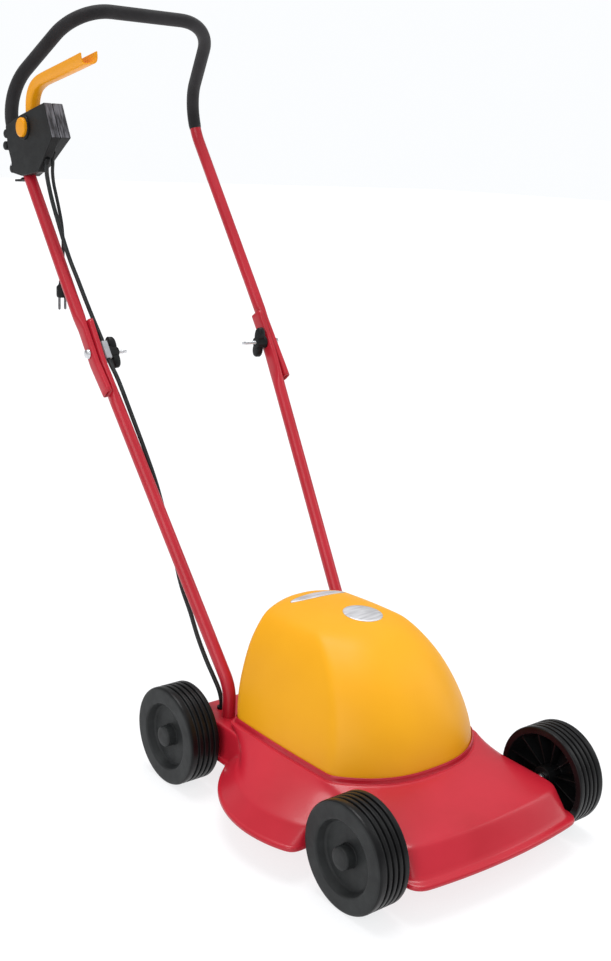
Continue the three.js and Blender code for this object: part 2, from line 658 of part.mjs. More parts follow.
// The lower lead starts clear of the fold: the stretch between them bends with the handle.
const LEAD_LOWER = [
  [-147, 422.5, 545], [-144.5, 411, 527], [-136, 392, 484], [-131.5, 367, 443],
  [-127, 341, 397], [-124.5, 316, 345], [-124, 294, 300], [-123, 275, 257], [-120, 255, 222],
  [-118, 236, 187], [-115, 217, 157], [-113, 203, 139], [-111, 190, 121], [-110, 184.5, 106],
  [LEAD_ENTRY.x, LEAD_ENTRY.y, 97], [LEAD_ENTRY.x, LEAD_ENTRY.y, 84],
];
const PIGTAIL = [
  [-170, 573.5, 857], [-168.5, 576, 846], [-166, 582, 832], [-162, 586, 815], [-158, 585, 796],
  [-155, 582, 776], [-152, 580, 755], [-150, 580, 733], [-149, 582, 712], [-149, 584, 692],
  [-149, 585, 676],
];

// A block in line with the tube, with one bore for the fold bolt and one for the lead.
function leadClip() {
  const body = block(CLIP.from, CLIP.to, -CLIP.front, CLIP.back, -CLIP.half, CLIP.half);
  body.rotateX(-Math.atan(LEG.slopeY));
  body.translate(0, BOLT.y, BOLT.z);
  const boltBore = rod(BOLT_R + GAP, CLIP.from - 1, CLIP.to + 1, 12, 'x', 0, BOLT.y, BOLT.z);
  const leadBore = cord(LEAD_UPPER.slice(-3).concat([[CLIP.x, 435, 555.7]]), LEAD_R + GAP, 6);
  return cut(body, boltBore, leadBore);
}

function leads() {
  part('motor_lead_upper', cord(LEAD_UPPER, LEAD_R, 30), LEAD_BLACK);
  part('motor_lead_lower', cord(LEAD_LOWER, LEAD_R, 36), LEAD_BLACK);
  part('lead_grommet', ring(6.2, LEAD_R + GAP, 86, 97, 12, 'z', LEAD_ENTRY.x, LEAD_ENTRY.y, 0), BLACK);
  part('pigtail_cord', cord(PIGTAIL, PIGTAIL_R, 20), LEAD_BLACK);
  plug();
}

function plug() {
  const [x, y, top] = PIGTAIL[PIGTAIL.length - 1];
  const under = top - GAP;
  part('plug_body', turned([
    [0, under], [4.5, under], [5.5, under - 12], [9, under - 16], [9, under - 30], [8, under - 33], [0, under - 33],
  ], 12, 'z', x, y, 0), BLACK);
  for (const [name, side] of [['plug_pin_right', -1], ['plug_pin_left', 1]]) {
    part(name, rod(2, under - 52, under - 33 - GAP, 8, 'z', x + side * 5, y, 0), BRASS);
  }
}

// ---------------------------------------------------------------- switch box
const BOX_TOP = [[567, 932], [644, 914], [694, 897]];
const BOX_BACK = [[687, 866], [678, 849], [669, 827]];
const OUTER_PROFILE = [...BOX_TOP, ...BOX_BACK, [642, 824], [586, 832], [541, 883]];
const INNER_PROFILE = [...BOX_TOP, ...BOX_BACK, [642, 824], [605, 840], [541, 883]];

// The profile moved inwards by a wall, each point along its two sides' inward normals.
function insetProfile(profile, wall) {
  return profile.map((p, i) => {
    const before = profile[(i + profile.length - 1) % profile.length];
    const after = profile[(i + 1) % profile.length];
    const a = new THREE.Vector2(p[0] - before[0], p[1] - before[1]).normalize();
    const b = new THREE.Vector2(after[0] - p[0], after[1] - p[1]).normalize();
    const normal = new THREE.Vector2(a.y + b.y, -a.x - b.x).normalize();
    const reach = wall / Math.abs(normal.dot(new THREE.Vector2(a.y, -a.x)));
    return [p[0] + normal.x * reach, p[1] + normal.y * reach];
  });
}

function boxHalf(profile, face, split, inside) {
  const shell = slab(profile, Math.min(face, split), Math.max(face, split));
  const hollow = insetProfile(profile, BOX_WALL).filter(([y]) => y < 662);
  const pocket = slab([...hollow, [640, 836], [662, 862], [662, 908]].sort(aroundBox), ...inside);
  const slot = block(BOX_OUT_X + BOX_WALL, BOX_IN_X - BOX_WALL, 609, 662, 900, 940);
  return cut(shell, pocket, slot,
    solidTube(BOX_FRAMES, TUBE_R + GAP), solidTube(SLEEVE_FRAMES.slice(0, 4), GRIP_R + GAP));
}

function aroundBox(a, b) {
  const angle = ([y, z]) => Math.atan2(z - 875, y - 610);
  return angle(a) - angle(b);
}

function switchBox() {
  const split = BOX_SPLIT_X;
  const outer = boxHalf(OUTER_PROFILE, BOX_OUT_X, split - GAP / 2, [BOX_OUT_X + BOX_WALL, split + 1]);
  const inner = boxHalf(INNER_PROFILE, BOX_IN_X, split + GAP / 2, [split - 1, BOX_IN_X - BOX_WALL]);
  const pinHole = rod(3 + GAP, -200, -150, 12, 'x', 0, LEVER_PIVOT.y, LEVER_PIVOT.z);
  const buttonHole = rod(BUTTON.r + GAP, -200, -184, 20, 'x', 0, BUTTON.y, BUTTON.z);
  const collar = ring(BUTTON.r + 4, BUTTON.r + GAP, BOX_OUT_X - 2.5, BOX_OUT_X + 1, 20, 'x', 0, BUTTON.y, BUTTON.z);
  const screws = [[553, 889], [677, 840]];
  const screwHoles = screws.map(([y, z]) => rod(2 + GAP, -200, -150, 8, 'x', 0, y, z));
  part('switch_box_outer', cut(join(cut(outer, pinHole, buttonHole), collar), ...screwHoles,
    leadHole(LEAD_UPPER, LEAD_R)), BLACK);
  part('switch_box_inner', cut(inner, pinHole, ...screwHoles, leadHole(PIGTAIL, PIGTAIL_R)), BLACK);
  screws.forEach(([y, z], i) => {
    part(`box_screw_${i + 1}`, join(rod(2, BOX_OUT_X + 1, BOX_IN_X + 0.5, 8, 'x', 0, y, z),
      rod(3.5, BOX_IN_X + GAP, BOX_IN_X + 2.5, 8, 'x', 0, y, z)), STEEL);
  });
  part('lever_pin', rod(3, BOX_OUT_X + 0.5, BOX_IN_X - 0.5, 12, 'x', 0, LEVER_PIVOT.y, LEVER_PIVOT.z), STEEL);
  part('micro_switch', block(-182, -167, 563.5, 590, 872, 890), GREY);
  part('release_lever', releaseLever(), YELLOW);
  part('lock_button', turned([
    [0, BOX_OUT_X - 7], [BUTTON.r - 3, BOX_OUT_X - 7], [BUTTON.r, BOX_OUT_X - 5.5],
    [BUTTON.r, BOX_OUT_X + 3], [0, BOX_OUT_X + 3],
  ], 20, 'x', 0, BUTTON.y, BUTTON.z), YELLOW);
}

// A hole for a lead, along the first stretch of its route and on into the box.
function leadHole(route, radius) {
  const start = new THREE.Vector3(...route[0]);
  const next = new THREE.Vector3(...route[1]);
  const into = start.clone().addScaledVector(start.clone().sub(next).normalize(), 22);
  return cord([next.toArray(), start.toArray(), into.toArray()], radius + GAP, 4);
}

// A pressed channel: a web facing forward and down, and two walls behind it. It turns on the
// pin in the box and is squeezed back towards the grip.
function releaseLever() {
  const web = [[619, 905], [624, 922], [624, 940], [614, 952], [577, 962], [452, 985]];
  const back = [[456, 999], [575, 976], [607, 970], [624, 956], [632, 940], [634, 925], [629, 905]];
  const half = 10;
  const wall = 2.2;
  const mid = BOX_SPLIT_X;
  const outline = [...web, ...back];
  const channel = slab(outline, mid - half, mid + half);
  const inside = [[624 + wall, 924], [624 + wall, 941], [615 + wall / 2, 954], [578, 962 + wall],
    [440, 988 + wall], [440, 1015], [640, 1015], [660, 960], [660, 924]];
  const body = cut(channel, slab(inside, mid - half + wall, mid + half - wall),
    block(mid - half - 1, mid - 5, 600, 660, 880, 925), block(mid + 5, mid + half + 1, 600, 660, 880, 925));
  const hub = rod(9, mid - 5, mid + 5, 16, 'x', 0, LEVER_PIVOT.y, LEVER_PIVOT.z);
  const arm = slab([[605, 888], [619, 884], [629, 908], [619, 908]], mid - 5, mid + 5);
  return cut(join(body, hub, arm), rod(3 + GAP, -200, -150, 12, 'x', 0, LEVER_PIVOT.y, LEVER_PIVOT.z));
}

// ---------------------------------------------------------------- fasteners of the cowl
function cowlScrews() {
  for (const [name, y] of [['cowl_screw_front', -128], ['cowl_screw_rear', 142]]) {
    part(name, rod(4, SEAT_Z - 2 * SHEET - 4, SEAT_Z - 2 * SHEET, 8, 'z', 0, y, 0), STEEL);
  }
}

part('deck_shell', deckShell(), RED);
part('motor_cowl', motorCowl(), YELLOW);
motor();
wheels();
handle();
leads();
switchBox();
cowlScrews();

export default mower;
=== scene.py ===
"""Small electric rotary lawn mower: everything that is seen of it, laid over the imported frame.

Shapes are written in millimetres from the point midway between the wheels; at() turns them into
metres in the row frame. The nose points to -Y and the operator's right hand is at -X.
"""

import json
import math

import bmesh
import bpy
from mathutils import Matrix, Vector
from mathutils.bvhtree import BVHTree

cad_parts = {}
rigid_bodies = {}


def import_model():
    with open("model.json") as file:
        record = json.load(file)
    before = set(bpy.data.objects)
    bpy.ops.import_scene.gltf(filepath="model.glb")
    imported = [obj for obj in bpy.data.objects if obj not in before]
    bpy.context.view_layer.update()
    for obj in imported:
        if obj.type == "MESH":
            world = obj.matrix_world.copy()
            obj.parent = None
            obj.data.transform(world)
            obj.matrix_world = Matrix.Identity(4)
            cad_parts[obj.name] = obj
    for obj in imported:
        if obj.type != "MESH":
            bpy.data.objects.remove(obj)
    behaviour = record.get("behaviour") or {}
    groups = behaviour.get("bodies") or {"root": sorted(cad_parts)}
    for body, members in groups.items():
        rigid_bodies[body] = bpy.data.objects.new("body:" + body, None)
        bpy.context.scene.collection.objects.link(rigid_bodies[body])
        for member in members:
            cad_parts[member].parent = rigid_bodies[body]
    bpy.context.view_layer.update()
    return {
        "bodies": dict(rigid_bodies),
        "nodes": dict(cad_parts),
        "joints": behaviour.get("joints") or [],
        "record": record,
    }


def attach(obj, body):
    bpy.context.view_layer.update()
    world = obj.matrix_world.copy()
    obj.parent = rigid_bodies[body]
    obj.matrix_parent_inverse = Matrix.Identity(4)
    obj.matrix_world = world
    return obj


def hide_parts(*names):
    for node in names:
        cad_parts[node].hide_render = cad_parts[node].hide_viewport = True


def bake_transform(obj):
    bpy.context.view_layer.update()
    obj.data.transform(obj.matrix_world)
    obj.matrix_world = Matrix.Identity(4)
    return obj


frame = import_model()

# ---------------------------------------------------------------- driving dimensions (mm)
MIDDLE_X = -13.55
MIDDLE_Y = 216.65
RIGHT, LEFT = -1, 1

WHEEL_R = 70
WHEEL_OUT_X = 201.3
WHEEL_W = 46.8
WHEEL_RECESS = 12.5
HUB_CAP_R = 15
GROOVES, GROOVE_PITCH, GROOVE_DEPTH = 4, 8.4, 3.2
RIBS = 12
AXLE_Y = 193

SEAT_Z = 104
NOSE_X = 150
NOSE_Y = -281
REAR_X = 150
REAR_Y = 240
SKIRT_RIGHT, SKIRT_LEFT = 232, 178
SKIRT_B = 199
MOTOR_Y = -38
MOTOR_HOLE_R = 56
SHELF_Z = 93.6
SHEET = 2.4
COWL_BULGE = 2.5

TUBE_R = 9.5
FLAT_HALF = 5
FOOT = (116.1, 157, 60)
BOLT = (163.2, 458.3, 574)
GRIP_R = 10.5
BAR_Z = 1071.3
LEG_X, LEG_Y, LEG_Z = 168, 448.35, 560
LEG_SLOPE_X, LEG_SLOPE_Y = 0.017, 0.742

BOX_OUT_X = -188
BOX_IN_X = -156.5
BOX_SPLIT_X = -174
BOX_WALL = 2.5
BUTTON = (631, 896)
BUTTON_R = 14.4

CAMERA_AT = (-1087.9, -1173.4, 870.6)
CAMERA_TURN, CAMERA_TILT, CAMERA_ROLL = -39.437, 14.480, 2.590
CAMERA_LENS = 46.82


def at(x, y, z):
    """A point in metres in the row frame, from millimetres off the point midway between the wheels."""
    return Vector((x - MIDDLE_X, y - MIDDLE_Y, z)) / 1000


def mix(a, b, t):
    return a + (b - a) * t


def eased(t):
    t = min(max(t, 0.0), 1.0)
    return t * t * (3 - 2 * t)


# ---------------------------------------------------------------- camera
def make_camera():
    turn, tilt, roll = map(math.radians, (CAMERA_TURN, CAMERA_TILT, CAMERA_ROLL))
    back = Vector((math.sin(turn) * math.cos(tilt), -math.cos(turn) * math.cos(tilt), math.sin(tilt)))
    right = Vector((math.cos(turn), math.sin(turn), 0))
    up = back.cross(right)
    tilted_right = right * math.cos(roll) + up * math.sin(roll)
    tilted_up = up * math.cos(roll) - right * math.sin(roll)
    data = bpy.data.cameras.new("main_camera")
    data.lens = CAMERA_LENS
    data.sensor_width = 36
    data.clip_start, data.clip_end = 0.05, 50
    camera = bpy.data.objects.new("main_camera", data)
    turned = Matrix((tilted_right, tilted_up, back)).transposed()
    camera.matrix_world = Matrix.Translation(at(*CAMERA_AT)) @ turned.to_4x4()
    bpy.context.scene.collection.objects.link(camera)
    bpy.context.scene.camera = camera


# ---------------------------------------------------------------- materials
class Shader:
    """A Principled material, with a few helpers for the nodes that feed it."""

    def __init__(self, name, roughness, metallic=0.0, coat=0.0, specular=0.5):
        self.material = bpy.data.materials.new(name)
        self.material.use_nodes = True
        self.nodes = self.material.node_tree.nodes
        self.links = self.material.node_tree.links
        self.surface = self.nodes["Principled BSDF"]
        self.surface.inputs["Metallic"].default_value = metallic
        self.surface.inputs["Roughness"].default_value = roughness
        self.surface.inputs["Coat Weight"].default_value = coat
        self.surface.inputs["Coat Roughness"].default_value = 0.12
        self.surface.inputs["Specular IOR Level"].default_value = specular
        self.where = self.nodes.new("ShaderNodeTexCoord").outputs["Object"]

    def stretched(self, scale):
        """The object's own coordinates, stretched along its axes."""
        mapping = self.nodes.new("ShaderNodeMapping")
        mapping.inputs["Scale"].default_value = scale
        self.links.new(self.where, mapping.inputs["Vector"])
        return mapping.outputs["Vector"]

    def noise(self, scale, detail=3.0, vector=None):
        made = self.nodes.new("ShaderNodeTexNoise")
        made.inputs["Scale"].default_value = scale
        made.inputs["Detail"].default_value = detail
        self.links.new(vector or self.where, made.inputs["Vector"])
        return made.outputs["Fac"]

    def ramp(self, factor, low, high, start=0.35, end=0.65):
        """A blend from one colour to another as a factor rises from start to end."""
        made = self.nodes.new("ShaderNodeValToRGB")
        made.color_ramp.elements[0].position = start
        made.color_ramp.elements[1].position = end
        made.color_ramp.elements[0].color = (*low, 1)
        made.color_ramp.elements[1].color = (*high, 1)
        self.links.new(factor, made.inputs["Fac"])
        return made.outputs["Color"]

    def color(self, socket):
        self.links.new(socket, self.surface.inputs["Base Color"])

    def roughness(self, factor, low, high):
        made = self.nodes.new("ShaderNodeMapRange")
        made.inputs["To Min"].default_value = low
        made.inputs["To Max"].default_value = high
        self.links.new(factor, made.inputs["Value"])
        self.links.new(made.outputs["Result"], self.surface.inputs["Roughness"])

    def bump(self, height, strength, distance):
        made = self.nodes.new("ShaderNodeBump")
        made.inputs["Strength"].default_value = strength
        made.inputs["Distance"].default_value = distance
        self.links.new(height, made.inputs["Height"])
        self.links.new(made.outputs["Normal"], self.surface.inputs["Normal"])


def red_paint():
    """Gloss enamel on pressed steel: faint orange peel under a clear top."""
    paint = Shader("red_enamel", 0.34, coat=0.12, specular=0.35)
    paint.color(paint.ramp(paint.noise(9), (0.43, 0.010, 0.022), (0.49, 0.014, 0.030)))
    paint.roughness(paint.noise(30), 0.28, 0.42)
    paint.bump(paint.noise(450, 2), 0.06, 0.0006)
    return paint.material


def yellow_plastic(name, low, high, rough):
    """Moulded plastic with a fine satin grain and slow changes of tone."""
    plastic = Shader(name, rough, specular=0.25)
    plastic.color(plastic.ramp(plastic.noise(6), low, high))
    plastic.roughness(plastic.noise(60), rough - 0.05, rough + 0.07)
    plastic.bump(plastic.noise(900, 2), 0.08, 0.0004)
    return plastic.material


def black_plastic(name, low, high, rough, grain, specular=0.2):
    plastic = Shader(name, rough, specular=specular)
    plastic.color(plastic.ramp(plastic.noise(40, 5), low, high))
    plastic.roughness(plastic.noise(90), rough - 0.08, rough + 0.1)
    plastic.bump(plastic.noise(grain, 3), 0.22, 0.0005)
    return plastic.material


def painted_sheen_plastic():
    """The box's front wall: black plastic with a painted sheen, grey in long streaks, for the light that
    falls on that face.
    """
    plastic = Shader("black_plastic_painted_sheen", 0.5, specular=0.3)
    streaks = plastic.noise(30, 6, plastic.stretched((9, 1.2, 1.2)))
    # Painted sheen: the grey of the streaks stands in for light falling on the box's front faces.
    plastic.color(plastic.ramp(streaks, (0.03, 0.03, 0.034), (0.17, 0.17, 0.19), 0.40, 0.62))
    plastic.roughness(streaks, 0.4, 0.62)
    plastic.bump(streaks, 0.25, 0.0006)
    return plastic.material


def foam():
    """Closed-cell foam: dark, soft sheen, fine pores."""
    rubber = Shader("grip_foam", 0.72, specular=0.3)
    rubber.surface.inputs["Sheen Weight"].default_value = 0.12
    rubber.color(rubber.ramp(rubber.noise(25, 4), (0.008, 0.0072, 0.0085), (0.016, 0.0148, 0.0168)))
    rubber.bump(rubber.noise(1400, 3), 0.3, 0.0005)
    return rubber.material


def cable_rubber():
    rubber = Shader("cable_sheath", 0.45, specular=0.3)
    rubber.color(rubber.ramp(rubber.noise(70), (0.008, 0.009, 0.0095), (0.018, 0.021, 0.022)))
    rubber.bump(rubber.noise(1500, 2), 0.12, 0.0003)
    return rubber.material


def bare_metal(name, low, high, rough):
    """Plated or milled metal with fine scratches along one axis."""
    metal = Shader(name, rough, metallic=1.0)
    scratches = metal.noise(240, 4, metal.stretched((0.15, 1, 1)))
    metal.color(metal.ramp(scratches, low, high))
    metal.roughness(scratches, rough - 0.08, rough + 0.12)
    metal.bump(scratches, 0.1, 0.0003)
    return metal.material


def floor_white():
    """A translucent light table: part of its brightness is its own, so shadows stay faint."""
    floor = Shader("floor_white", 0.9, specular=0.1)
    floor.color(floor.ramp(floor.noise(2), (0.24, 0.24, 0.245), (0.25, 0.25, 0.255)))
    floor.surface.inputs["Emission Color"].default_value = (0.985, 0.992, 1, 1)
    floor.surface.inputs["Emission Strength"].default_value = 0.79
    return floor.material


MATERIALS = {
    "red": red_paint(),
    "cowl": yellow_plastic("cowl_plastic", (0.80, 0.36, 0.006), (0.85, 0.395, 0.009), 0.44),
    "amber": yellow_plastic("amber_plastic", (0.82, 0.32, 0.004), (0.87, 0.36, 0.006), 0.34),
    "black": black_plastic("black_plastic", (0.005, 0.0055, 0.006), (0.010, 0.011, 0.0115), 0.44, 700),
    # Painted sheen for the switch box's forward- and up-facing faces.
    "painted_sheen_black": painted_sheen_plastic(),
    "wheel": black_plastic("wheel_face", (0.016, 0.017, 0.0175), (0.026, 0.028, 0.0285), 0.5, 500),
    "tread": black_plastic("wheel_tread", (0.003, 0.003, 0.0035), (0.007, 0.0073, 0.0077), 0.36, 350),
    "foam": foam(),
    "cable": cable_rubber(),
    "grey": black_plastic("grey_plastic", (0.30, 0.31, 0.33), (0.42, 0.43, 0.45), 0.5, 600, 0.4),
    "steel": bare_metal("plated_steel", (0.55, 0.56, 0.58), (0.72, 0.73, 0.75), 0.24),
    "dark_steel": bare_metal("dark_steel", (0.13, 0.13, 0.135), (0.24, 0.24, 0.25), 0.42),
    "aluminium": bare_metal("cast_aluminium", (0.40, 0.41, 0.42), (0.55, 0.56, 0.57), 0.4),
    "badge": bare_metal("badge_silver", (0.62, 0.62, 0.64), (0.78, 0.78, 0.8), 0.5),
}


# ---------------------------------------------------------------- mesh helpers
def add_mesh(name, vertices, faces):
    mesh = bpy.data.meshes.new(name)
    mesh.from_pydata(vertices, [], faces)
    shape = bmesh.new()
    shape.from_mesh(mesh)
    bmesh.ops.recalc_face_normals(shape, faces=shape.faces)
    shape.to_mesh(mesh)
    shape.free()
    mesh.polygons.foreach_set("use_smooth", [True] * len(mesh.polygons))
    made = bpy.data.objects.new(name, mesh)
    bpy.context.scene.collection.objects.link(made)
    return made


def piece(made, material, body, *nodes, slot=None):
    """Gives a piece its finish, its body and the CAD nodes that it stands for."""
    made.data.materials.append(MATERIALS[material])
    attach(made, body)
    if nodes:
        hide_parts(*nodes)
    return made


def loft(name, rings, closed=False, capped=True, channel=False):
    """A skin over rings of equal length. Open ends are closed by a fan round their middle, or, on a
    channel, whose ring runs out along one face and back along the other, by a strip between them."""
    count = len(rings[0])
    vertices = [at(*p) for ring in rings for p in ring]
    faces = []
    for r in range(len(rings) if closed else len(rings) - 1):
        a, b = r * count, (r + 1) % len(rings) * count
        faces += [(a + i, a + (i + 1) % count, b + (i + 1) % count, b + i) for i in range(count)]
    ends = () if closed or not capped else (0, len(rings) - 1)
    for r in ends:
        first, last = r * count, (r + 1) * count - 1
        if channel:
            faces += [(first + i, first + i + 1, last - i - 1, last - i) for i in range(count // 2 - 1)]
        else:
            hub = len(vertices)
            vertices.append(at(*(sum(p[k] for p in rings[r]) / count for k in range(3))))
            faces += [(r * count + i, r * count + (i + 1) % count, hub) for i in range(count)]
    return add_mesh(name, vertices, faces)


def rounded(profile, radius, steps=3, closed=False):
    """A polyline with each inner corner turned on a small radius."""
    points = [Vector(p) for p in profile]
    count = len(points)
    out = []
    for i, corner in enumerate(points):
        if not closed and i in (0, count - 1):
            out.append(corner)
            continue
        before, after = points[i - 1], points[(i + 1) % count]
        reach_in = min(radius, (before - corner).length * 0.45)
        reach_out = min(radius, (after - corner).length * 0.45)
        start = corner + (before - corner).normalized() * reach_in
        end = corner + (after - corner).normalized() * reach_out
        for s in range(steps + 1):
            t = s / steps
            out.append(start * (1 - t) ** 2 + corner * 2 * t * (1 - t) + end * t ** 2)
    return out


def lathe(name, profile, axis, centre, segments=96, radius=0.6, closed=False):
    """A turned piece: (radius, distance) pairs, spun about a line along x or z."""
    turned = rounded(profile, radius, closed=closed)
    rings = []
    for r, d in turned:
        ring = []
        for i in range(segments):
            a = 2 * math.pi * i / segments
            u, v = r * math.cos(a), r * math.sin(a)
            offset = (d, u, v) if axis == "x" else (u, v, d)
            ring.append(tuple(c + o for c, o in zip(centre, offset)))
        rings.append(ring)
    return loft(name, rings, closed=closed, capped=False)


def slab(name, outline, x0, x1, bevel=1.0, segments=3):
    """A YZ outline given thickness along X. Its edges are rounded unless bevel is 0."""
    count = len(outline)
    vertices = [at(x, y, z) for x in (x0, x1) for y, z in outline]
    faces = [tuple(range(count)), tuple(range(count, 2 * count))]
    faces += [(i, (i + 1) % count, count + (i + 1) % count, count + i) for i in range(count)]
    made = add_mesh(name, vertices, faces)
    return softened(made, bevel, segments) if bevel else made


def softened(made, width, segments=3):
    bevel = made.modifiers.new("edges", "BEVEL")
    bevel.width = width / 1000
    bevel.segments = segments
    bevel.limit_method = "ANGLE"
    bevel.angle_limit = math.radians(28)
    bevel.harden_normals = True
    return made


def carved(made, *tools):
    """Cuts closed shapes out of a piece, before its edges are softened."""
    for tool in tools:
        cutter = made.modifiers.new("cut", "BOOLEAN")
        cutter.operation = "DIFFERENCE"
        cutter.solver = "EXACT"
        cutter.object = tool
    evaluated = made.evaluated_get(bpy.context.evaluated_depsgraph_get())
    mesh = bpy.data.meshes.new_from_object(evaluated)
    made.modifiers.clear()
    made.data = mesh
    for tool in tools:
        bpy.data.objects.remove(tool)
    return made


def smoother(made, levels):
    subdivision = made.modifiers.new("smooth", "SUBSURF")
    subdivision.levels = levels
    subdivision.render_levels = levels
    return made


def mirrored(points, side):
    return [(side * p[0], *p[1:]) for p in points]


# ---------------------------------------------------------------- paths and tubes
def bent_path(corners, radii, spacing=12, arc_steps=14):
    """Straight runs through the corners, each turned on its own bend radius."""
    corners = [Vector(c) for c in corners]
    path = [corners[0]]
    for before, corner, after, radius in zip(corners, corners[1:], corners[2:], radii):
        if radius == 0:
            path.append(corner)
            continue
        back, on = (before - corner).normalized(), (after - corner).normalized()
        half = back.angle(on) / 2
        centre = corner + (back + on).normalized() * radius / math.sin(half)
        start = corner + back * radius / math.tan(half) - centre
        end = corner + on * radius / math.tan(half) - centre
        turn = start.angle(end)
        for s in range(arc_steps + 1):
            t = s / arc_steps
            path.append(centre + start * math.sin((1 - t) * turn) / math.sin(turn)
                        + end * math.sin(t * turn) / math.sin(turn))
    path.append(corners[-1])
    return evenly(path, spacing)


def evenly(path, spacing):
    """The same path with extra points wherever two lie further apart than spacing."""
    out = [path[0]]
    for a, b in zip(path, path[1:]):
        steps = max(1, math.ceil((b - a).length / spacing))
        out += [a.lerp(b, s / steps) for s in range(1, steps + 1)]
    return out


def curve_through(points, steps=10):
    """A smooth curve through given points."""
    p = [Vector(v) for v in points]
    p = [p[0] * 2 - p[1], *p, p[-1] * 2 - p[-2]]
    out = []
    for a, b, c, d in zip(p, p[1:], p[2:], p[3:]):
        for s in range(steps):
            t = s / steps
            out.append(0.5 * (2 * b + (c - a) * t + (2 * a - 5 * b + 4 * c - d) * t ** 2
                              + (3 * b - a - 3 * c + d) * t ** 3))
    out.append(p[-2])
    return out


def path_frames(path, side=(1, 0, 0)):
    """(point, side, up) along a path, carried on without twist."""
    side = Vector(side)
    frames = []
    for i, point in enumerate(path):
        along = (path[min(i + 1, len(path) - 1)] - path[max(i - 1, 0)]).normalized()
        side = (side - along * side.dot(along)).normalized()
        frames.append((point, side.copy(), along.cross(side)))
    return frames


def section(point, side, up, half_side, half_up, squareness, segments):
    """An oval ring that squares off as squareness grows from 0."""
    power = 1 / (1 + squareness)
    ring = []
    for i in range(segments):
        a = 2 * math.pi * (i + 0.5) / segments
        c, s = math.cos(a), math.sin(a)
        u = half_side * math.copysign(abs(c) ** power, c)
        v = half_up * math.copysign(abs(s) ** power, s)
        ring.append(tuple(point + side * u + up * v))
    return ring


def pipe(name, path, shape, wall=1.5, segments=32, lip=0.5):
    """A hollow tube. shape(point) gives its half sizes and how square it is."""
    frames = path_frames(path)

    def ring(frame, inset):
        half_side, half_up, squareness = shape(frame[0])
        return section(*frame, half_side - inset, half_up - inset, squareness, segments)

    rings = [ring(frames[0], wall / 2), ring(frames[0], lip / 3)]
    rings += [ring(f, 0) for f in frames[1:-1]]
    rings += [ring(frames[-1], lip / 3), ring(frames[-1], wall / 2)]
    rings += [ring(f, wall) for f in reversed(frames)]
    return loft(name, rings, closed=True)


def cable(name, points, radius, material, body, *nodes):
    """A round cable as a curve with the points for its centreline."""
    data = bpy.data.curves.new(name, "CURVE")
    data.dimensions = "3D"
    data.bevel_depth = radius / 1000
    data.bevel_resolution = 5
    data.use_fill_caps = True
    line = curve_through(points)
    spline = data.splines.new("POLY")
    spline.points.add(len(line) - 1)
    for target, p in zip(spline.points, line):
        target.co = (*at(*p), 1)
    spline.use_smooth = True
    made = bpy.data.objects.new(name, data)
    bpy.context.scene.collection.objects.link(made)
    return piece(made, material, body, *nodes)


# ---------------------------------------------------------------- leads
CLIP_X = -148.3
CLIP_SIDES = (-152.6, -143.8)
CLIP_END = (CLIP_X, 442.8, 566.2)
LEAD = [
    (-181, 570.6, 848), (-180.5, 573, 838), (-177, 577, 822), (-172, 573, 792), (-168, 563.5, 763.5),
    (-165, 550.6, 734), (-162, 535.6, 705), (-159, 517, 677), (-154.5, 502, 649),
    (-149.3, 486.5, 620), (CLIP_X, 460.4, 589.9), CLIP_END, (-147, 422.5, 545),
    (-144.5, 411, 527), (-136, 392, 484), (-131.5, 367, 443), (-127, 341, 397), (-124.5, 316, 345),
    (-124, 294, 300), (-123, 275, 257), (-120, 255, 222), (-118, 236, 187), (-115, 217, 157),
    (-113, 203, 139), (-111, 190, 121), (-110, 184.5, 106), (-110, 184, 97), (-110, 184, 84),
]
PIGTAIL = [
    (-170, 573.5, 857), (-168.5, 576, 846), (-166, 582, 832), (-162, 586, 815), (-158, 585, 796),
    (-155, 582, 776), (-152, 580, 755), (-150, 580, 733), (-149, 582, 712), (-149, 584, 692),
    (-149, 585, 676),
]


def motor_lead():
    """The lead follows the handle above the clip and the deck below it, and bends between them."""
    frames = path_frames(curve_through(LEAD, 8))
    made = loft("motor_lead", [section(*frame, 3.25, 3.25, 0, 20) for frame in frames])
    made.data.materials.append(MATERIALS["cable"])
    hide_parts("motor_lead_upper", "motor_lead_lower")
    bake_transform(made)


def pigtail():
    cord = cable("pigtail", PIGTAIL, 2.6, "cable", "handle", "pigtail_cord")
    x, y, top = PIGTAIL[-1]
    profile = [(0, top + 3), (3.6, top + 3), (4.2, top - 4), (4.2, top - 6), (5.2, top - 8),
               (5.2, top - 12), (9, top - 17), (9, top - 30), (8, top - 33), (0, top - 33)]
    body = piece(lathe("plug", profile, "z", (x, y, 0), 48), "black", "handle", "plug_body")
    for name, side in (("right", RIGHT), ("left", LEFT)):
        pin = [(0, top - 31), (2, top - 31), (2, top - 50.5), (1.2, top - 52), (0, top - 52)]
        made = lathe(f"pin_{name}", pin, "z", (x + 5 * side, y, 0), 24)
        piece(made, "dark_steel", "handle", f"plug_pin_{name}")


# ---------------------------------------------------------------- deck
BOW_STEPS, TURN_STEPS, SIDE_STEPS, WELL_STEPS, ARC_STEPS, STEP_IN = 16, 8, 10, 8, 46, 6
NOSE_CORNER_R, REAR_CORNER_R, NOSE_BOW = 22, 18, 12


def run(start, end, steps):
    """Points from start up to, but not including, end."""
    return [tuple(mix(a, b, i / steps) for a, b in zip(start, end)) for i in range(steps)]


def turn(cx, cy, radius, start, z, steps):
    out = []
    for i in range(steps):
        a = start + math.pi / 2 * i / steps
        out.append((cx + radius * math.cos(a), cy + radius * math.sin(a), z))
    return out


def closed_outline(left, right=None):
    """A ring from two halves, both drawn on the left; without a second half it is symmetrical."""
    return left + [(-x, y, z) for x, y, z in reversed((right or left)[1:-1])]


def relaxed(ring, passes):
    """The ring with its corners eased, by averaging each point with its neighbours."""
    for _ in range(passes):
        count = len(ring)
        ring = [tuple((ring[i - 1][k] + 2 * ring[i][k] + ring[(i + 1) % count][k]) / 4 for k in range(3))
                for i in range(count)]
    return ring


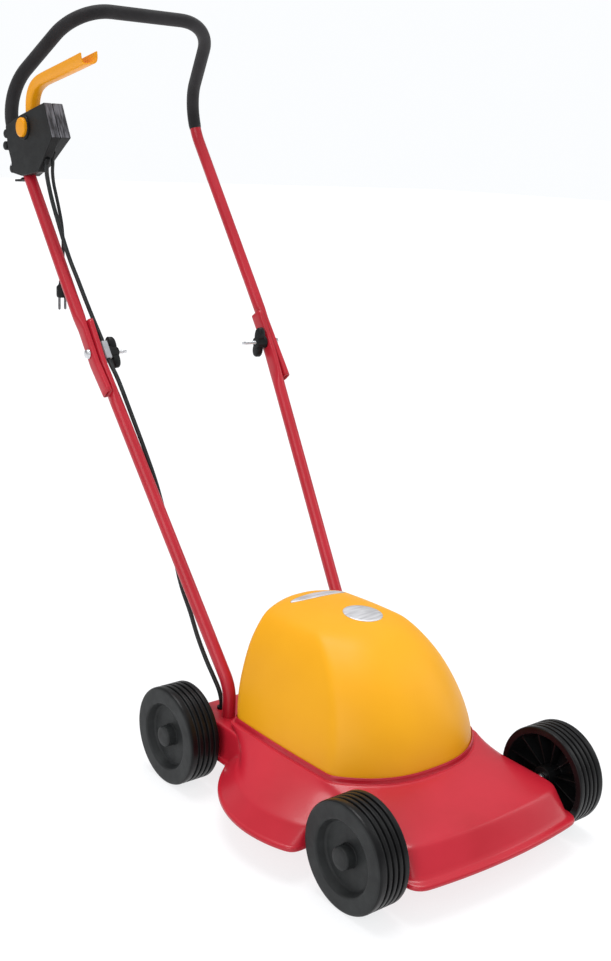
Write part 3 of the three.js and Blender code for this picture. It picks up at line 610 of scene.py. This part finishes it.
def deck_level(reach, nose, skirt, side, rear, z_nose, z_skirt, z_rear):
    """Half a level of the deck, from the skirt's reach, how far in it lies and how high it is."""
    x = NOSE_X - side
    front = NOSE_Y + nose
    r = NOSE_CORNER_R
    a, b = reach - skirt, SKIRT_B - skirt
    well = -117 + skirt * 0.1
    first = math.asin((well - MOTOR_Y) / b)
    last = math.acos((REAR_X - side + 3) / a)
    half = []
    for i in range(BOW_STEPS):
        across = mix(0, x - r, i / BOW_STEPS)
        half.append((across, front + NOSE_BOW * (across / x) ** 2, z_nose))
    corner_y = front + NOSE_BOW * ((x - r) / x) ** 2 + r
    half += turn(x - r, corner_y, r, -math.pi / 2, z_nose, TURN_STEPS)
    half += run((x, corner_y, z_nose), (x, well, z_nose + 3), SIDE_STEPS)
    skirt_start = (a * math.cos(first), well, z_skirt)
    half += run((x, well, z_nose + 3), skirt_start, WELL_STEPS)
    for i in range(ARC_STEPS):
        angle = mix(first, last, i / ARC_STEPS)
        half.append((a * math.cos(angle), MOTOR_Y + b * math.sin(angle), z_skirt))
    rear_well = MOTOR_Y + b * math.sin(last)
    half += run((x + 3, rear_well, z_skirt), (x, rear_well + 6, z_rear), STEP_IN)
    back = REAR_Y - rear
    r = REAR_CORNER_R
    half += run((x, rear_well + 6, z_rear), (x, back - r, z_rear), SIDE_STEPS)
    half += turn(x - r, back - r, r, 0, z_rear, TURN_STEPS)
    half += run((x - r, back, z_rear), (0, back, z_rear), BOW_STEPS)
    half.append((0, back, z_rear))
    return half


def seat_level(margin, z):
    """The outline of the cowl's foot widened by a margin, point for point with deck_level."""
    x = 128 + margin
    front_y, front_tip = -84 - margin * 0.6, -142 - margin
    back_y, back_tip = 124 + margin * 0.3, 153 + margin
    front = BOW_STEPS + TURN_STEPS + SIDE_STEPS
    half = [(x * i / front, mix(front_tip, front_y, (i / front) ** 2.6), z) for i in range(front)]
    side = WELL_STEPS + ARC_STEPS
    for i in range(side):
        t = i / side
        half.append((x + COWL_BULGE * math.sin(math.pi * t), mix(front_y, back_y, t), z))
    back = STEP_IN + SIDE_STEPS + TURN_STEPS + BOW_STEPS
    half += [(x * s, mix(back_tip, back_y, s ** 2.6), z) for s in (1 - i / back for i in range(back))]
    half.append((0, back_tip, z))
    return half


DECK_LEVELS = [
    # how far in at the nose, the skirt, the sides and the rear; height of the nose, the skirt, the rear
    (3.2, 3.2, 3.2, 3.2, 41, 41, 41),
    (0.8, 0.8, 0.8, 0.8, 41.6, 41.6, 41.6),
    (0, 0, 0, 0, 44, 44, 44),
    (0.5, 0.5, 0.5, 0.5, 47, 47, 47),
    (3.0, 2.5, 2.5, 3.0, 48.4, 48.4, 48.4),
    (9.0, 4.3, 4.6, 4.5, 49.0, 49.0, 49.0),
    (11.5, 5.6, 5.4, 6.0, 51.0, 51.0, 51.0),
    (29.5, 20.0, 7.5, 24.0, 76.5, 66.0, 88.0),
    (32.0, 22.0, 8.2, 26.0, 79.8, 68.6, 91.6),
    (35.5, 25.0, 10.5, 29.5, 82.0, 70.6, 93.2),
    (41.0, 30.0, 14.5, 35.0, 83.6, 73.2, SHELF_Z),
]
SEAT_LEVELS = [
    # margin outside the cowl's foot, z
    (8.6, 100.7), (7.2, 101.6), (5.8, 101.8), (4.7, 101.3), (3.7, 101.1), (2.9, 102.2), (2.5, 105.2),
    (2.2, 108.2), (1.7, 109.3), (1.1, 109.4), (0.7, 108.7), (0.55, 104.6), (-12, 104),
]


def between(outer, inner, t, z_rear):
    """Part of the way from the shoulder to the seat; behind the skirt it stays on the flat top."""
    ring = []
    for a, b in zip(outer, inner):
        x, y, z = (mix(p, q, t) for p, q in zip(a, b))
        flat = eased((a[1] - 84) / 22)
        ring.append((x, y, mix(z, z_rear, flat)))
    return ring


def deck():
    seat = seat_level(*SEAT_LEVELS[0])
    sides = []
    for reach in (SKIRT_LEFT, SKIRT_RIGHT):
        halves = [deck_level(reach, *level) for level in DECK_LEVELS]
        shoulder = halves[-1]
        halves += [between(shoulder, seat, t, SHELF_Z) for t in (0.3, 0.6, 0.85)]
        halves += [between(shoulder, seat, 0.95, SHELF_Z + 1)]
        sides.append(halves + [seat_level(*level) for level in SEAT_LEVELS])
    rings = [relaxed(closed_outline(left, right), 3) for left, right in zip(*sides)]
    hole = [(MOTOR_HOLE_R * math.cos(a), MOTOR_Y + MOTOR_HOLE_R * math.sin(a), SEAT_Z)
            for a in (math.atan2(y - MOTOR_Y, x) for x, y, _ in rings[-1])]
    made = loft("deck", [*rings, hole], capped=False)
    thick = made.modifiers.new("sheet", "SOLIDIFY")
    thick.thickness = SHEET / 1000
    thick.offset = -1
    smoother(made, 1)
    return piece(made, "red", "deck", "deck_shell")


# ---------------------------------------------------------------- cowl
COWL_LEVELS = [
    # z, tip of the front, crease (x, y), rear corner (x, y), middle of the back
    (104.9, -142.0, (128.0, -84), (128.0, 123), 152),
    (107.0, -142.3, (128.2, -84), (128.2, 124), 152.3),
    (118.0, -140.6, (126.6, -82.5), (126.6, 127.5), 155),
    (130.0, -137.5, (124.3, -80.5), (124.5, 130), 157.5),
    (152.0, -129.5, (118.8, -75), (119.2, 134), 160.5),
    (173.0, -118.0, (112.4, -67), (113.0, 136), 161.5),
    (193.0, -104.0, (105.8, -57), (107.0, 136.5), 161.5),
    (211.0, -87.5, (99.4, -44.5), (100.8, 136), 160.5),
    (226.0, -71.0, (93.2, -29.5), (94.2, 134.5), 158.5),
    (239.0, -53.5, (86.8, -13), (86.2, 133.5), 157),
    (247.5, -39.5, (81.4, 1), (79.2, 133.2), 155.5),
    (252.6, -29.0, (77.0, 9.5), (72.5, 133), 154),
    (256.2, -18.5, (71.4, 17), (65.0, 132), 152.5),
    (259.2, -6.0, (62.5, 27), (56.0, 129.5), 150),
    (262.0, 14.0, (49.0, 42), (44.0, 125), 146),
    (264.0, 42.0, (30.0, 64), (30.0, 116), 137),
    (264.9, 74.0, (12.0, 86), (12.0, 102), 116),
]
COWL_BOW, COWL_SIDE = 26, 26


def cowl_level(z, tip, crease, rear, back):
    (cx, cy), (rx, ry) = crease, rear
    half = [(cx * i / COWL_BOW, mix(tip, cy, (i / COWL_BOW) ** 2.6), z) for i in range(COWL_BOW)]
    for i in range(COWL_SIDE):
        t = i / COWL_SIDE
        half.append((mix(cx, rx, t) + COWL_BULGE * math.sin(math.pi * t), mix(cy, ry, t), z))
    half += [(rx * s, mix(back, ry, s ** 2.6), z) for s in (1 - i / COWL_BOW for i in range(COWL_BOW))]
    half.append((0, back, z))
    return half


def cowl():
    rings = [relaxed(closed_outline(cowl_level(*level)), 2) for level in COWL_LEVELS]
    made = loft("cowl", rings, capped=False)
    top = bmesh.new()
    top.from_mesh(made.data)
    edges = [e for e in top.edges if e.is_boundary and e.verts[0].co.z > 0.2]
    bmesh.ops.holes_fill(top, edges=edges)
    top.to_mesh(made.data)
    top.free()
    made.data.polygons.foreach_set("use_smooth", [True] * len(made.data.polygons))
    thick = made.modifiers.new("wall", "SOLIDIFY")
    thick.thickness = 0.0026
    thick.offset = -1
    smoother(made, 1)
    return piece(made, "cowl", "deck", "motor_cowl")


# ---------------------------------------------------------------- wheels
def wheel_profile(side):
    """The rim, tread, face and web of a wheel, as (radius, distance across the mower)."""
    inner = WHEEL_OUT_X - WHEEL_W
    tread = [(WHEEL_R - 1.2, inner), (WHEEL_R, inner + 1.4)]
    for i in range(GROOVES):
        edge = inner + 7.6 + i * GROOVE_PITCH
        bottom = WHEEL_R - GROOVE_DEPTH
        tread += [(WHEEL_R, edge), (bottom, edge + 0.7), (bottom, edge + 2.9), (WHEEL_R, edge + 3.6)]
    tread += [(WHEEL_R, WHEEL_OUT_X - 3.4), (WHEEL_R - 1, WHEEL_OUT_X - 1.1), (WHEEL_R - 3.6, WHEEL_OUT_X)]
    floor = WHEEL_OUT_X - WHEEL_RECESS
    face = [(49, WHEEL_OUT_X), (47, WHEEL_OUT_X - 1.2), (43.4, floor + 2), (41, floor), (6.4, floor)]
    inside = [(6.4, inner + 3), (14, inner + 3), (15, inner + 27), (53, inner + 28),
              (60, inner + 3), (60.6, inner)]
    return [(r, side * d) for r, d in tread + face + inside]


def wheel(end, side_name, y, side):
    body = f"wheel_{end}_{side_name}"
    made = lathe(f"{body}_moulding", wheel_profile(side), "x", (0, y, WHEEL_R), 128, 0.7, closed=True)
    piece(made, "tread", body, body)
    made.data.materials.append(MATERIALS["wheel"])
    hub = at(0, y, WHEEL_R)
    for face in made.data.polygons:
        off = face.center - hub
        if abs(off.x) * 1000 > WHEEL_OUT_X - WHEEL_RECESS - 1 and math.hypot(off.y, off.z) < 0.068:
            face.material_index = 1
    wheel_ribs(body, y, side)
    floor = WHEEL_OUT_X - WHEEL_RECESS
    cap = [(0, WHEEL_OUT_X + 3.4), (9, WHEEL_OUT_X + 3.3), (HUB_CAP_R - 1.6, WHEEL_OUT_X + 2.6),
           (HUB_CAP_R - 0.1, WHEEL_OUT_X + 0.6), (HUB_CAP_R, floor + 1.5), (HUB_CAP_R + 1.2, floor + 0.2),
           (0, floor + 0.2)]
    cap = [(r, side * d) for r, d in cap]
    made = lathe(f"hub_cap_{end}_{side_name}_dome", cap, "x", (0, y, WHEEL_R), 64, 1.2)
    piece(made, "wheel", body, f"hub_cap_{end}_{side_name}")


def wheel_ribs(body, y, side):
    """Thin radial ribs in the hollow on the wheel's inner side."""
    vertices, faces = [], []
    low, high = WHEEL_OUT_X - WHEEL_W + 5, WHEEL_OUT_X - WHEEL_W + 31
    for i in range(RIBS):
        a = 2 * math.pi * (i + 0.5) / RIBS
        c, s = math.cos(a), math.sin(a)
        start = len(vertices)
        for x, r in ((low + 8, 13.5), (low, 60), (high, 58), (high, 13.5)):
            for half in (-0.9, 0.9):
                vertices.append(at(side * x, y + r * c - half * s, WHEEL_R + r * s + half * c))
        faces += [tuple(start + k for k in quad) for quad in (
            (0, 2, 4, 6), (1, 3, 5, 7), (0, 1, 3, 2), (2, 3, 5, 4), (4, 5, 7, 6), (6, 7, 1, 0))]
    ribs = add_mesh(f"{body}_ribs", vertices, faces)
    ribs.data.polygons.foreach_set("use_smooth", [False] * len(ribs.data.polygons))
    piece(softened(ribs, 0.3, 1), "tread", body)


def wheels():
    for end, y in (("front", -AXLE_Y), ("rear", AXLE_Y)):
        for side_name, side in (("right", RIGHT), ("left", LEFT)):
            wheel(end, side_name, y, side)


# ---------------------------------------------------------------- handle
def tube_shape(low, high, blend, spread):
    """Round, but flattened in X and spread to its sides where low < z < high."""
    def shape(point):
        flat = eased(min(point.z - low, high - point.z) / blend + 1)
        return mix(TUBE_R, FLAT_HALF, flat), mix(TUBE_R, TUBE_R * spread, flat), 0.7 * flat
    return shape


def leg_point(z):
    return (LEG_X + LEG_SLOPE_X * (z - LEG_Z), LEG_Y + LEG_SLOPE_Y * (z - LEG_Z), z)


BAR_CORNER = (120, 587.5, BAR_Z)
THREAD_TURNS, THREAD_PITCH = 24, 1.25


def lower_tube(name, side):
    flat_x = BOLT[0] - FLAT_HALF - 0.15
    corners = [FOOT, (FOOT[0], FOOT[1], 138), (flat_x, 448.5, 560), (flat_x, 488, 617)]
    path = bent_path(mirrored(corners, side), [60, 60], 6)
    made = pipe(f"lower_tube_{name}", path, tube_shape(530, 700, 25, 1.3))
    piece(made, "red", "deck", f"tube_lower_{name}")


def upper_corners():
    flat_x = BOLT[0] + FLAT_HALF + 0.15
    tail = (flat_x - 2.8, 415, 520.5)
    leg = [tail] + [leg_point(z) for z in (560, 606, 655, 940.7)] + [BAR_CORNER]
    leg[1:3] = [(flat_x, p[1], p[2]) for p in leg[1:3]]
    return mirrored(leg, RIGHT) + leg[::-1]


def upper_path():
    bends = [0, 0, 0, 73, 76]
    return bent_path(upper_corners(), bends + bends[::-1], 8, 20)


def upper_tube():
    made = pipe("handle_tube", upper_path(), tube_shape(400, 606, 22, 1.1))
    piece(made, "red", "handle", "tube_upper")


def grip():
    path = upper_path()
    first = next(i for i, p in enumerate(path) if p.z > 884)
    last = max(i for i, p in enumerate(path) if p.z > 907)
    made = pipe("foam_grip", path[first:last + 1], lambda p: (GRIP_R, GRIP_R, 0), GRIP_R - TUBE_R, 40, 1.6)
    piece(made, "foam", "handle", "grip_sleeve")


def bolt_head(name, side):
    x = BOLT[0] + 10.4
    head = [(0, x), (7.5, x), (7.5, x + 1.4), (6.9, x + 2.2), (6.0, x + 4.2), (3.6, x + 5.5), (0, x + 5.9)]
    head = [(r, side * d) for r, d in head]
    made = lathe(f"carriage_head_{name}", head, "x", (0, BOLT[1], BOLT[2]), 48, 0.5)
    piece(made, "steel", "deck", f"fold_bolt_{name}")
    shank = [(0, BOLT[0] + 10), (2.9, BOLT[0] + 10)]
    end = BOLT[0] - 54
    for i in range(THREAD_TURNS):
        d = end + 34 - i * THREAD_PITCH
        shank += [(2.9, d), (2.45, d - THREAD_PITCH / 2)]
    shank += [(2.2, end), (0, end)]
    shank = [(r, side * d) for r, d in shank]
    made = lathe(f"bolt_shank_{name}", shank, "x", (0, BOLT[1], BOLT[2]), 32, 0.15)
    piece(made, "steel", "deck")


def wing_knob(name, side, face, degrees):
    """A waisted wing on a short hub, turned to an angle from level."""
    hub = [(3.2, face), (10, face), (11, face - 1), (9.8, face - 7), (8.4, face - 17), (7.6, face - 18),
           (3.2, face - 18)]
    hub = [(r, side * d) for r, d in hub]
    made = lathe(f"knob_hub_{name}", hub, "x", (0, BOLT[1], BOLT[2]), 48, 0.8, closed=True)
    piece(made, "black", f"knob_{name}", f"wing_knob_{name}")
    tilt = math.radians(degrees)
    outline = []
    for i in range(64):
        a = 2 * math.pi * i / 64
        along = 25 * math.copysign(abs(math.cos(a)) ** 0.8, math.cos(a))
        across = 9.3 * math.copysign(abs(math.sin(a)) ** 0.8, math.sin(a))
        across *= 1 - 0.5 * math.exp(-(along / 10) ** 2)
        outline.append((BOLT[1] + along * math.cos(tilt) - across * math.sin(tilt),
                        BOLT[2] + along * math.sin(tilt) + across * math.cos(tilt)))
    rings = []
    for d, scale in ((5.5, 0.86), (6.1, 0.95), (7.4, 1), (14.4, 0.98), (16.0, 0.92), (16.8, 0.78)):
        ring = [(mix(BOLT[1], y, scale), mix(BOLT[2], z, scale)) for y, z in outline]
        rings.append([(side * (face - d), y, z) for y, z in ring])
    wings = loft(f"knob_wings_{name}", rings)
    piece(wings, "black", f"knob_{name}")


def lead_clip():
    """A block in line with the tube that the fold bolt and the lead pass through."""
    along = Vector((0, LEG_SLOPE_Y, 1)).normalized()
    front = Vector((0, -along.z, along.y))
    outline = []
    for a, f in ((-14, -8), (14, -8), (14, 12.5), (-14, 12.5)):
        corner = Vector(BOLT) + along * a + front * f
        outline.append((corner.y, corner.z))
    made = slab("cable_clip", outline, *CLIP_SIDES, bevel=0)
    bolt_line = [(-160, BOLT[1], BOLT[2]), (-140, BOLT[1], BOLT[2])]
    lead_line = [(CLIP_X, 471, 604.1), (CLIP_X, 460.4, 589.9), (CLIP_X, 435, 555.7)]
    bores = [bore_tool("bolt_bore", bolt_line, 3.3), bore_tool("lead_bore", lead_line, 3.5)]
    piece(softened(carved(made, *bores), 0.9, 3), "grey", "handle", "lead_clip")


def bore_tool(name, points, radius):
    frames = path_frames([Vector(p) for p in points], side=(0, 1, 1))
    return loft(name, [section(*frame, radius, radius, 0, 24) for frame in frames])


def handle():
    for name, side in (("right", RIGHT), ("left", LEFT)):
        lower_tube(name, side)
        bolt_head(name, side)
    upper_tube()
    grip()
    wing_knob("right", RIGHT, 143.2, 60)
    wing_knob("left", LEFT, 152.6, 100)
    lead_clip()


# ---------------------------------------------------------------- switch box
BOX_TOP = [(567, 932), (644, 914), (694, 897)]
BOX_BACK = [(687, 866), (678, 849), (669, 827)]
OUTER_PROFILE = [*BOX_TOP, *BOX_BACK, (642, 824), (586, 832), (541, 883)]
INNER_PROFILE = [*BOX_TOP, *BOX_BACK, (642, 824), (605, 840), (541, 883)]
SLOT = [(609, 890), (662, 890), (662, 950), (609, 950)]
LUGS = [(698, 886), (700, 868), (678, 834)]


def box_shell(name, profile, x0, x1):
    """Half of the box, with the slot that the lever comes out of."""
    made = slab(name, profile, x0, x1, bevel=0)
    slot = slab("slot_tool", SLOT, BOX_OUT_X + BOX_WALL, BOX_IN_X - BOX_WALL, bevel=0)
    return softened(carved(made, slot), 2.2, 4)


def switch_box():
    outer = box_shell("box_outer", OUTER_PROFILE, BOX_OUT_X, BOX_SPLIT_X - 0.25)
    piece(outer, "black", "handle", "switch_box_outer")
    inner = box_shell("box_inner", INNER_PROFILE, BOX_SPLIT_X + 0.25, BOX_IN_X)
    piece(inner, "black", "handle", "switch_box_inner")
    # The faces that face forward and up get the painted sheen: grey streaks standing in for the light on
    # them.
    for made in (outer, inner):
        made.data.materials.append(MATERIALS["painted_sheen_black"])
        for face in made.data.polygons:
            if face.normal.y < -0.8 and face.normal.z > 0:
                face.material_index = 1
    for i, (y, z) in enumerate(LUGS):
        lug = [(0, -187), (5.4, -187), (6.8, -185.6), (6.8, -160), (5.4, -158.6), (0, -158.6)]
        piece(lathe(f"box_lug_{i}", lug, "x", (0, y, z), 40, 0.8), "black", "handle")
    collar = [(BUTTON_R + 0.4, -186), (BUTTON_R + 4.5, -186), (BUTTON_R + 3.8, -190.4),
              (BUTTON_R + 0.4, -190.4)]
    piece(lathe("button_collar", collar, "x", (0, *BUTTON), 64, 0.6, closed=True), "black", "handle")
    button = [(0, -195.5), (BUTTON_R - 2.2, -195.3), (BUTTON_R - 0.5, -194.6), (BUTTON_R, -193.2),
              (BUTTON_R, -186), (0, -186)]
    piece(lathe("button", button, "x", (0, *BUTTON), 64, 0.6), "amber", "button", "lock_button")
    for name, route, radius in (("lead", LEAD, 4.6), ("pigtail", PIGTAIL, 3.9)):
        gland(name, route, radius)
    hook = [(645, 819), (652, 815.5), (672, 814.5), (672, 818), (654, 819), (648, 822)]
    piece(slab("box_hook", hook, -184, -164, 0.8), "black", "handle")


def gland(name, route, radius):
    """A short tapered bush where a cable leaves the box."""
    start, after = Vector(route[0]), Vector(route[1])
    along = (after - start).normalized()
    path = [start - along * 5, start - along * 1, start + along * 3, start + along * 4]
    radii = [radius, radius, radius * 0.82, radius * 0.7]
    frames = path_frames(path)
    rings = [section(*f, r, r, 0, 24) for f, r in zip(frames, radii)]
    piece(loft(f"gland_{name}", rings), "black", "handle")


def lever():
    """A channel with a rounded web, open at the back, that tapers a little towards its tip."""
    path = curve_through([(BOX_SPLIT_X, y, z) for y, z in (
        (621, 897), (625, 912), (626, 928), (623, 942), (614, 954), (599, 962), (580, 967),
        (545, 974), (505, 982), (456, 992))], 6)
    frames = path_frames(path)
    rings = []
    for i, (point, side, up) in enumerate(frames):
        t = i / (len(frames) - 1)
        along = up.cross(side)
        width = mix(5.4, 10, eased(t / 0.14))
        depth = mix(6.5, 8.5, t)
        slant = 7 * eased((t - 0.9) / 0.1)
        outer, inner = [], []
        for k in range(13):
            c, s = math.cos(math.pi * k / 12), math.sin(math.pi * k / 12)
            flat = math.copysign(abs(c) ** 0.45, c)
            end = point - along * slant * flat
            outer.append(end + side * width * flat + up * depth * (1 - 2 * s ** 0.6))
            inner.append(end + side * (width - 2.1) * flat + up * (depth - (2 * depth - 2.1) * s ** 0.6))
        rings.append([tuple(p) for p in outer + inner[::-1]])
    made = loft("squeeze_lever", rings, channel=True)
    piece(softened(made, 0.5, 2), "amber", "lever", "release_lever")


# ---------------------------------------------------------------- cowl badges
def badge(name, cowl_tree, centre, half_length, half_width):
    """A thin blank plate pressed onto the cowl's top: rings of points dropped onto its surface."""
    rings = []
    for scale, lift in ((1, 0.1), (1, 0.5), (0.97, 0.8), (0.8, 0.8), (0.5, 0.8), (0.2, 0.8)):
        ring = []
        for i in range(64):
            a = 2 * math.pi * i / 64
            x = centre[0] + half_length * scale * math.cos(a)
            y = centre[1] + half_width * scale * math.sin(a)
            hit = cowl_tree.ray_cast(at(x, y, 400), Vector((0, 0, -1)))[0]
            ring.append((x, y, hit.z * 1000 + lift))
        rings.append(ring)
    piece(loft(name, rings), "badge", "deck")


def badges(cowl_shell):
    evaluated = cowl_shell.evaluated_get(bpy.context.evaluated_depsgraph_get())
    shape = bmesh.new()
    shape.from_mesh(evaluated.to_mesh())
    tree = BVHTree.FromBMesh(shape)
    badge("badge_round", tree, (17, 32), 28, 28)
    badge("badge_oblong", tree, (8.8, 120), 50, 9)
    shape.free()
    evaluated.to_mesh_clear()


# ---------------------------------------------------------------- carried-over nodes
CARRIED = {
    "steel": ["lower_bearing", "upper_bearing", "motor_shaft", "blade_bolt", "motor_bolt_right",
              "motor_bolt_left", "cowl_screw_front", "cowl_screw_rear", "box_screw_1", "box_screw_2",
              "lever_pin", "socket_bolt_right", "socket_bolt_left", "axle_front_right",
              "axle_front_left", "axle_rear_right", "axle_rear_left"],
    "dark_steel": ["motor_stator", "armature", "blade", "tube_socket_right", "tube_socket_left"],
    "aluminium": ["motor_flange", "motor_top_bracket", "blade_hub"],
    "black": ["cooling_fan", "lead_grommet"],
    "grey": ["micro_switch"],
}


def dress_nodes():
    for material, names in CARRIED.items():
        for name in names:
            mesh = frame["nodes"][name].data
            mesh.materials.clear()
            mesh.materials.append(MATERIALS[material])


# ---------------------------------------------------------------- stage
def aimed(name, data, place):
    """A lamp at a place, turned towards the middle of the mower."""
    lamp = bpy.data.objects.new(name, data)
    lamp.location = place
    lamp.rotation_mode = "QUATERNION"
    lamp.rotation_quaternion = (Vector((0, 0, 0.35)) - Vector(place)).to_track_quat("-Z", "Y")
    bpy.context.scene.collection.objects.link(lamp)


def soft_sun(name, place, strength, spread):
    data = bpy.data.lights.new(name, "SUN")
    data.energy = strength
    data.angle = math.radians(spread)
    aimed(name, data, place)


def softbox(name, place, size, power):
    data = bpy.data.lights.new(name, "AREA")
    data.shape = "RECTANGLE"
    data.size, data.size_y = size
    data.energy = power
    aimed(name, data, place)


def studio_world():
    """White walls for the camera, and for the light a dimmer ring below a bright ceiling."""
    world = bpy.data.worlds.new("studio")
    world.use_nodes = True
    nodes, links = world.node_tree.nodes, world.node_tree.links
    split = nodes.new("ShaderNodeSeparateXYZ")
    ramp = nodes.new("ShaderNodeValToRGB")
    ramp.color_ramp.elements[0].position = 0.15
    ramp.color_ramp.elements[1].position = 0.75
    ramp.color_ramp.elements[0].color = (0.36, 0.365, 0.37, 1)
    ramp.color_ramp.elements[1].color = (0.62, 0.625, 0.63, 1)
    seen = nodes.new("ShaderNodeBackground")
    seen.inputs["Color"].default_value = (0.97, 0.985, 1, 1)
    either = nodes.new("ShaderNodeMixShader")
    links.new(nodes.new("ShaderNodeTexCoord").outputs["Generated"], split.inputs["Vector"])
    links.new(split.outputs["Z"], ramp.inputs["Fac"])
    links.new(ramp.outputs["Color"], nodes["Background"].inputs["Color"])
    links.new(nodes.new("ShaderNodeLightPath").outputs["Is Camera Ray"], either.inputs["Fac"])
    links.new(nodes["Background"].outputs["Background"], either.inputs[1])
    links.new(seen.outputs["Background"], either.inputs[2])
    links.new(either.outputs["Shader"], nodes["World Output"].inputs["Surface"])
    bpy.context.scene.world = world


def stage():
    corners = ((-30, -30), (30, -30), (30, 30), (-30, 30))
    floor = add_mesh("floor", [Vector((x, y, -0.0004)) for x, y in corners], [(0, 1, 2, 3)])
    floor.data.materials.append(floor_white())
    studio_world()
    bpy.context.scene.view_settings.view_transform = "Standard"
    soft_sun("key", (-1.6, -0.9, 1.3), 0.9, 40)
    soft_sun("top", (0.1, 0.3, 2.4), 1.9, 35)
    softbox("right_side", (2.2, -1.2, 1.3), (0.7, 2.0), 10)


make_camera()
pigtail()
motor_lead()
deck()
badges(cowl())
wheels()
handle()
switch_box()
lever()
dress_nodes()
stage()
